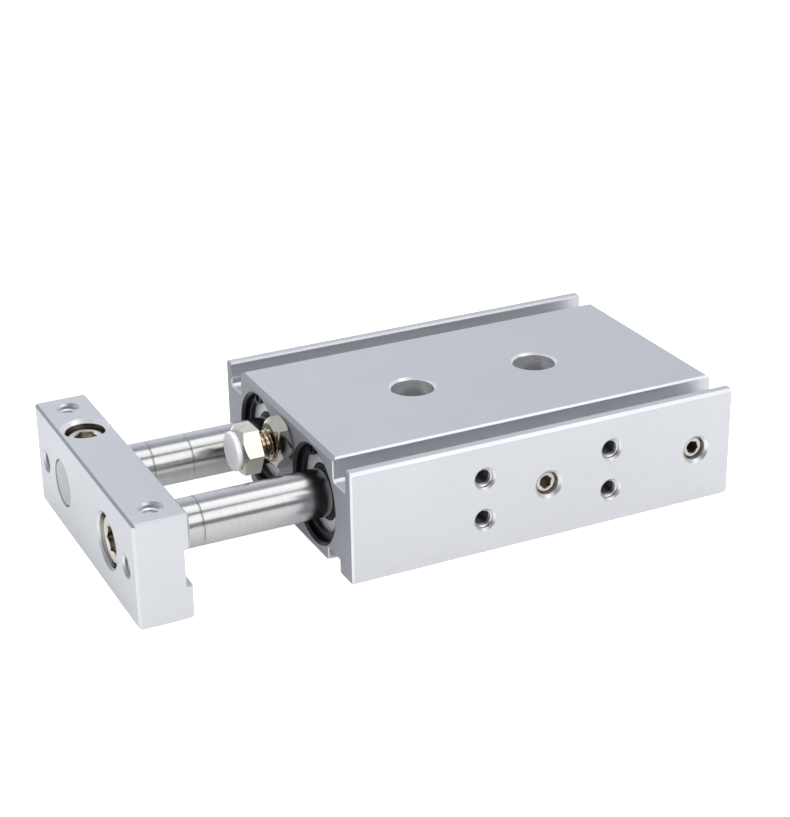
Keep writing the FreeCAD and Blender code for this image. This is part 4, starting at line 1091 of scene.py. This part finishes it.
def make_snap_rings():
    """Internal snap ring with eared ends, modelled once and copied to the four bore mouths."""
    low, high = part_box("front_snap_ring_a")
    thickness = high.x - low.x
    outer = middle("rod_a")[0].z - low.z
    back, front = -MM, thickness + MM
    gap = radians(RING_GAP_DIRECTION)
    towards = Matrix.Rotation(gap, 3, "X") @ Vector((0, 1, 0))
    inside = add_cylinder("inside", outer - RING_BAND, back, front, (towards * RING_TAPER)[1:])
    ear_inner = outer - RING_EAR_DEPTH
    ring = add_cylinder("snap_ring", outer, 0, thickness)
    holes = []
    for sign in (-1, 1):
        way = Matrix.Rotation(gap + sign * radians(RING_EAR_TURN), 3, "X") @ Vector((0, 1, 0))
        spot = (way * (ear_inner + RING_EAR_RADIUS))[1:]
        ear = add_cylinder("ear", RING_EAR_RADIUS, 2 * back, 2 * front, spot, RING_EAR_STEPS)
        combine(inside, ear, "DIFFERENCE")
        spot = (way * (ear_inner + RING_EAR_WALL + RING_EAR_HOLE / 2))[1:]
        holes.append(add_cylinder("hole", RING_EAR_HOLE / 2, back, front, spot, RING_HOLE_STEPS))
    for tool in [inside, *holes]:
        combine(ring, tool, "DIFFERENCE")
    centre = Vector(((back + front) / 2, 0, 0)) + towards * outer
    combine(ring, add_block("gap", (front - back, outer, RING_GAP_WIDTH), centre, gap), "DIFFERENCE")
    soften(ring, RING_SOFTEN, RING_SHARP)

    for node in ("front_snap_ring_a", "front_snap_ring_b", "rear_snap_ring_a", "rear_snap_ring_b"):
        copy = copy_of(ring, f"eared_{node}")
        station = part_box(node)[0].x
        set_down(copy, middle(f"rod_{node[-1]}")[0] + Vector((station, 0, 0)))
        hand_over(copy, "body", "ring_steel", node)
    bpy.data.objects.remove(ring, do_unlink=True)


def make_tap(name, radius, pitch, mouth, length):
    """Ridge of a tapped thread, wound from the mouth of a hole inwards along its own -X axis."""
    height = TAP_HEIGHT * pitch
    base = TAP_HALF_BASE * pitch
    crest = THREAD_CREST * pitch
    profile = [
        (0, radius + TAP_ROOT),
        (base - crest, radius - height),
        (base + crest, radius - height),
        (2 * base, radius + TAP_ROOT),
        (0, radius + TAP_ROOT),
    ]
    turns = int(length / pitch)
    start = -mouth - turns * pitch - 2 * base
    coil = wind(name, [(start + x, r) for x, r in profile], pitch, turns, TAP_STEPS)
    pick(coil)
    bpy.ops.object.mode_set(mode="EDIT")
    bpy.ops.mesh.select_all(action="SELECT")
    bpy.ops.mesh.fill_holes(sides=0)
    close_mesh()
    bpy.ops.object.mode_set(mode="OBJECT")
    return coil


def make_taps():
    """Cut threads of the mounting taps and the open ports, each modelled once and copied to its holes."""
    low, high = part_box("housing")
    plate_low, plate_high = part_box("plate")
    plate_x = (plate_low.x + plate_high.x) / 2
    axis_z = middle("rod_a")[0].z
    small_taps = []
    for x in (-SIDE_TAP_X, SIDE_TAP_X):
        for z in (axis_z - SIDE_TAP_RISE, axis_z + SIDE_TAP_RISE):
            small_taps.append(("body", (x, high.y, z), "+Y"))
            small_taps.append(("body", (x, low.y, z), "-Y"))
    for y in (-PLATE_TAP_Y, PLATE_TAP_Y):
        small_taps.append(("rod_assembly", (plate_x, y, plate_high.z), "+Z"))
        small_taps.append(("rod_assembly", (plate_x, y, plate_low.z), "-Z"))
        small_taps.append(("rod_assembly", (plate_high.x, y, axis_z), "+X"))
    ports = [("body", (x, low.y, axis_z), "-Y") for x in PORT_X]
    for kind, tap, places in (("mounting_tap", MOUNTING_TAP, small_taps), ("port_tap", PORT_TAP, ports)):
        coil = make_tap(kind, *tap)
        for count, (body, spot, facing) in enumerate(places, start=1):
            copy = copy_of(coil, f"{kind}_{count:02d}")
            set_down(copy, Vector(spot), facing)
            hand_over(copy, body, THREAD_FINISH[facing[-1]])
        bpy.data.objects.remove(coil, do_unlink=True)


make_rod("a", True, 1)
make_rod("b", False, 2)
make_nut()
make_bolt()
make_bumper()
make_plate_screws()
make_port_plugs()
make_snap_rings()
make_taps()


# Studio


def add_camera():
    """Camera at the main view of the cylinder."""
    data = bpy.data.cameras.new("photo_camera")
    data.sensor_width = SENSOR
    data.lens = FOCAL_LENGTH / IMAGE_HEIGHT * SENSOR
    data.clip_start = CLIP_NEAR
    data.clip_end = CLIP_FAR
    camera = bpy.data.objects.new("photo_camera", data)
    bpy.context.scene.collection.objects.link(camera)
    back = CAMERA_DOWN.cross(CAMERA_RIGHT)
    way = Matrix((CAMERA_RIGHT, -CAMERA_DOWN, back)).transposed()
    camera.matrix_world = Matrix.Translation(CAMERA_PLACE) @ way.to_4x4()
    bpy.context.scene.camera = camera


def add_softbox(name, centre, width, height, radiance, mirrored_in_metal):
    """A rectangular soft light, aimed at the object, whose face has the given radiance."""
    data = bpy.data.lights.new(name, "AREA")
    data.shape = "RECTANGLE"
    data.size = width
    data.size_y = height
    data.energy = radiance * pi * width * height
    light = bpy.data.objects.new(name, data)
    bpy.context.scene.collection.objects.link(light)
    light.location = centre
    light.rotation_euler = (LIGHT_TARGET - Vector(centre)).to_track_quat("-Z", "Y").to_euler()
    light.visible_glossy = mirrored_in_metal


def add_tent():
    """Light tent whose far wall is brighter than its near one, with its own levels in front and above."""
    bpy.context.scene.view_settings.view_transform = "Standard"
    world = bpy.data.worlds.new("light_tent")
    bpy.context.scene.world = world
    world.use_nodes = True
    tree = world.node_tree
    place = tree.nodes.new("ShaderNodeTexCoord")
    split = add_node(tree, "ShaderNodeSeparateXYZ", {"Vector": place.outputs["Generated"]}).outputs
    colour = blend_colours(tree, spread(tree, split["Y"], *NEAR_TURN, 0, 1), FAR_WALL, NEAR_WALL)
    strength = 1.0
    for axis, start, end, level in TENT_LEVELS:
        strength = calculate(tree, "MULTIPLY", spread(tree, split[axis], start, end, 1, level), strength)
    tree.links.new(colour, tree.nodes["Background"].inputs["Color"])
    tree.links.new(strength, tree.nodes["Background"].inputs["Strength"])


def add_floor():
    """Pale paper floor."""
    deselect_all()
    bpy.ops.mesh.primitive_plane_add(size=FLOOR_SIZE, location=(0, 0, -FLOOR_DROP))
    floor = bpy.context.object
    floor.name = "floor"
    paper, tree, shader, place = new_finish("pale_paper", {
        "Roughness": 0.9, "Specular IOR Level": 0.1, "Emission Color": (1, 1, 1, 1),
    })
    grain = use_group(tree, GRAIN, Vector=place.outputs["Object"], Scale=900.0)
    tone = blend_colours(tree, grain["Tone"], (0.90, 0.90, 0.90, 1), (0.93, 0.93, 0.93, 1))
    tree.links.new(tone, shader.inputs["Base Color"])
    ray = tree.nodes.new("ShaderNodeLightPath")
    glow = spread(tree, ray.outputs["Is Camera Ray"], 0, 1, FLOOR_GLOW, FLOOR_GLOW_SEEN)
    tree.links.new(glow, shader.inputs["Emission Strength"])
    floor.data.materials.append(paper)


add_camera()
add_tent()
for softbox in SOFTBOXES:
    add_softbox(*softbox)
add_floor()
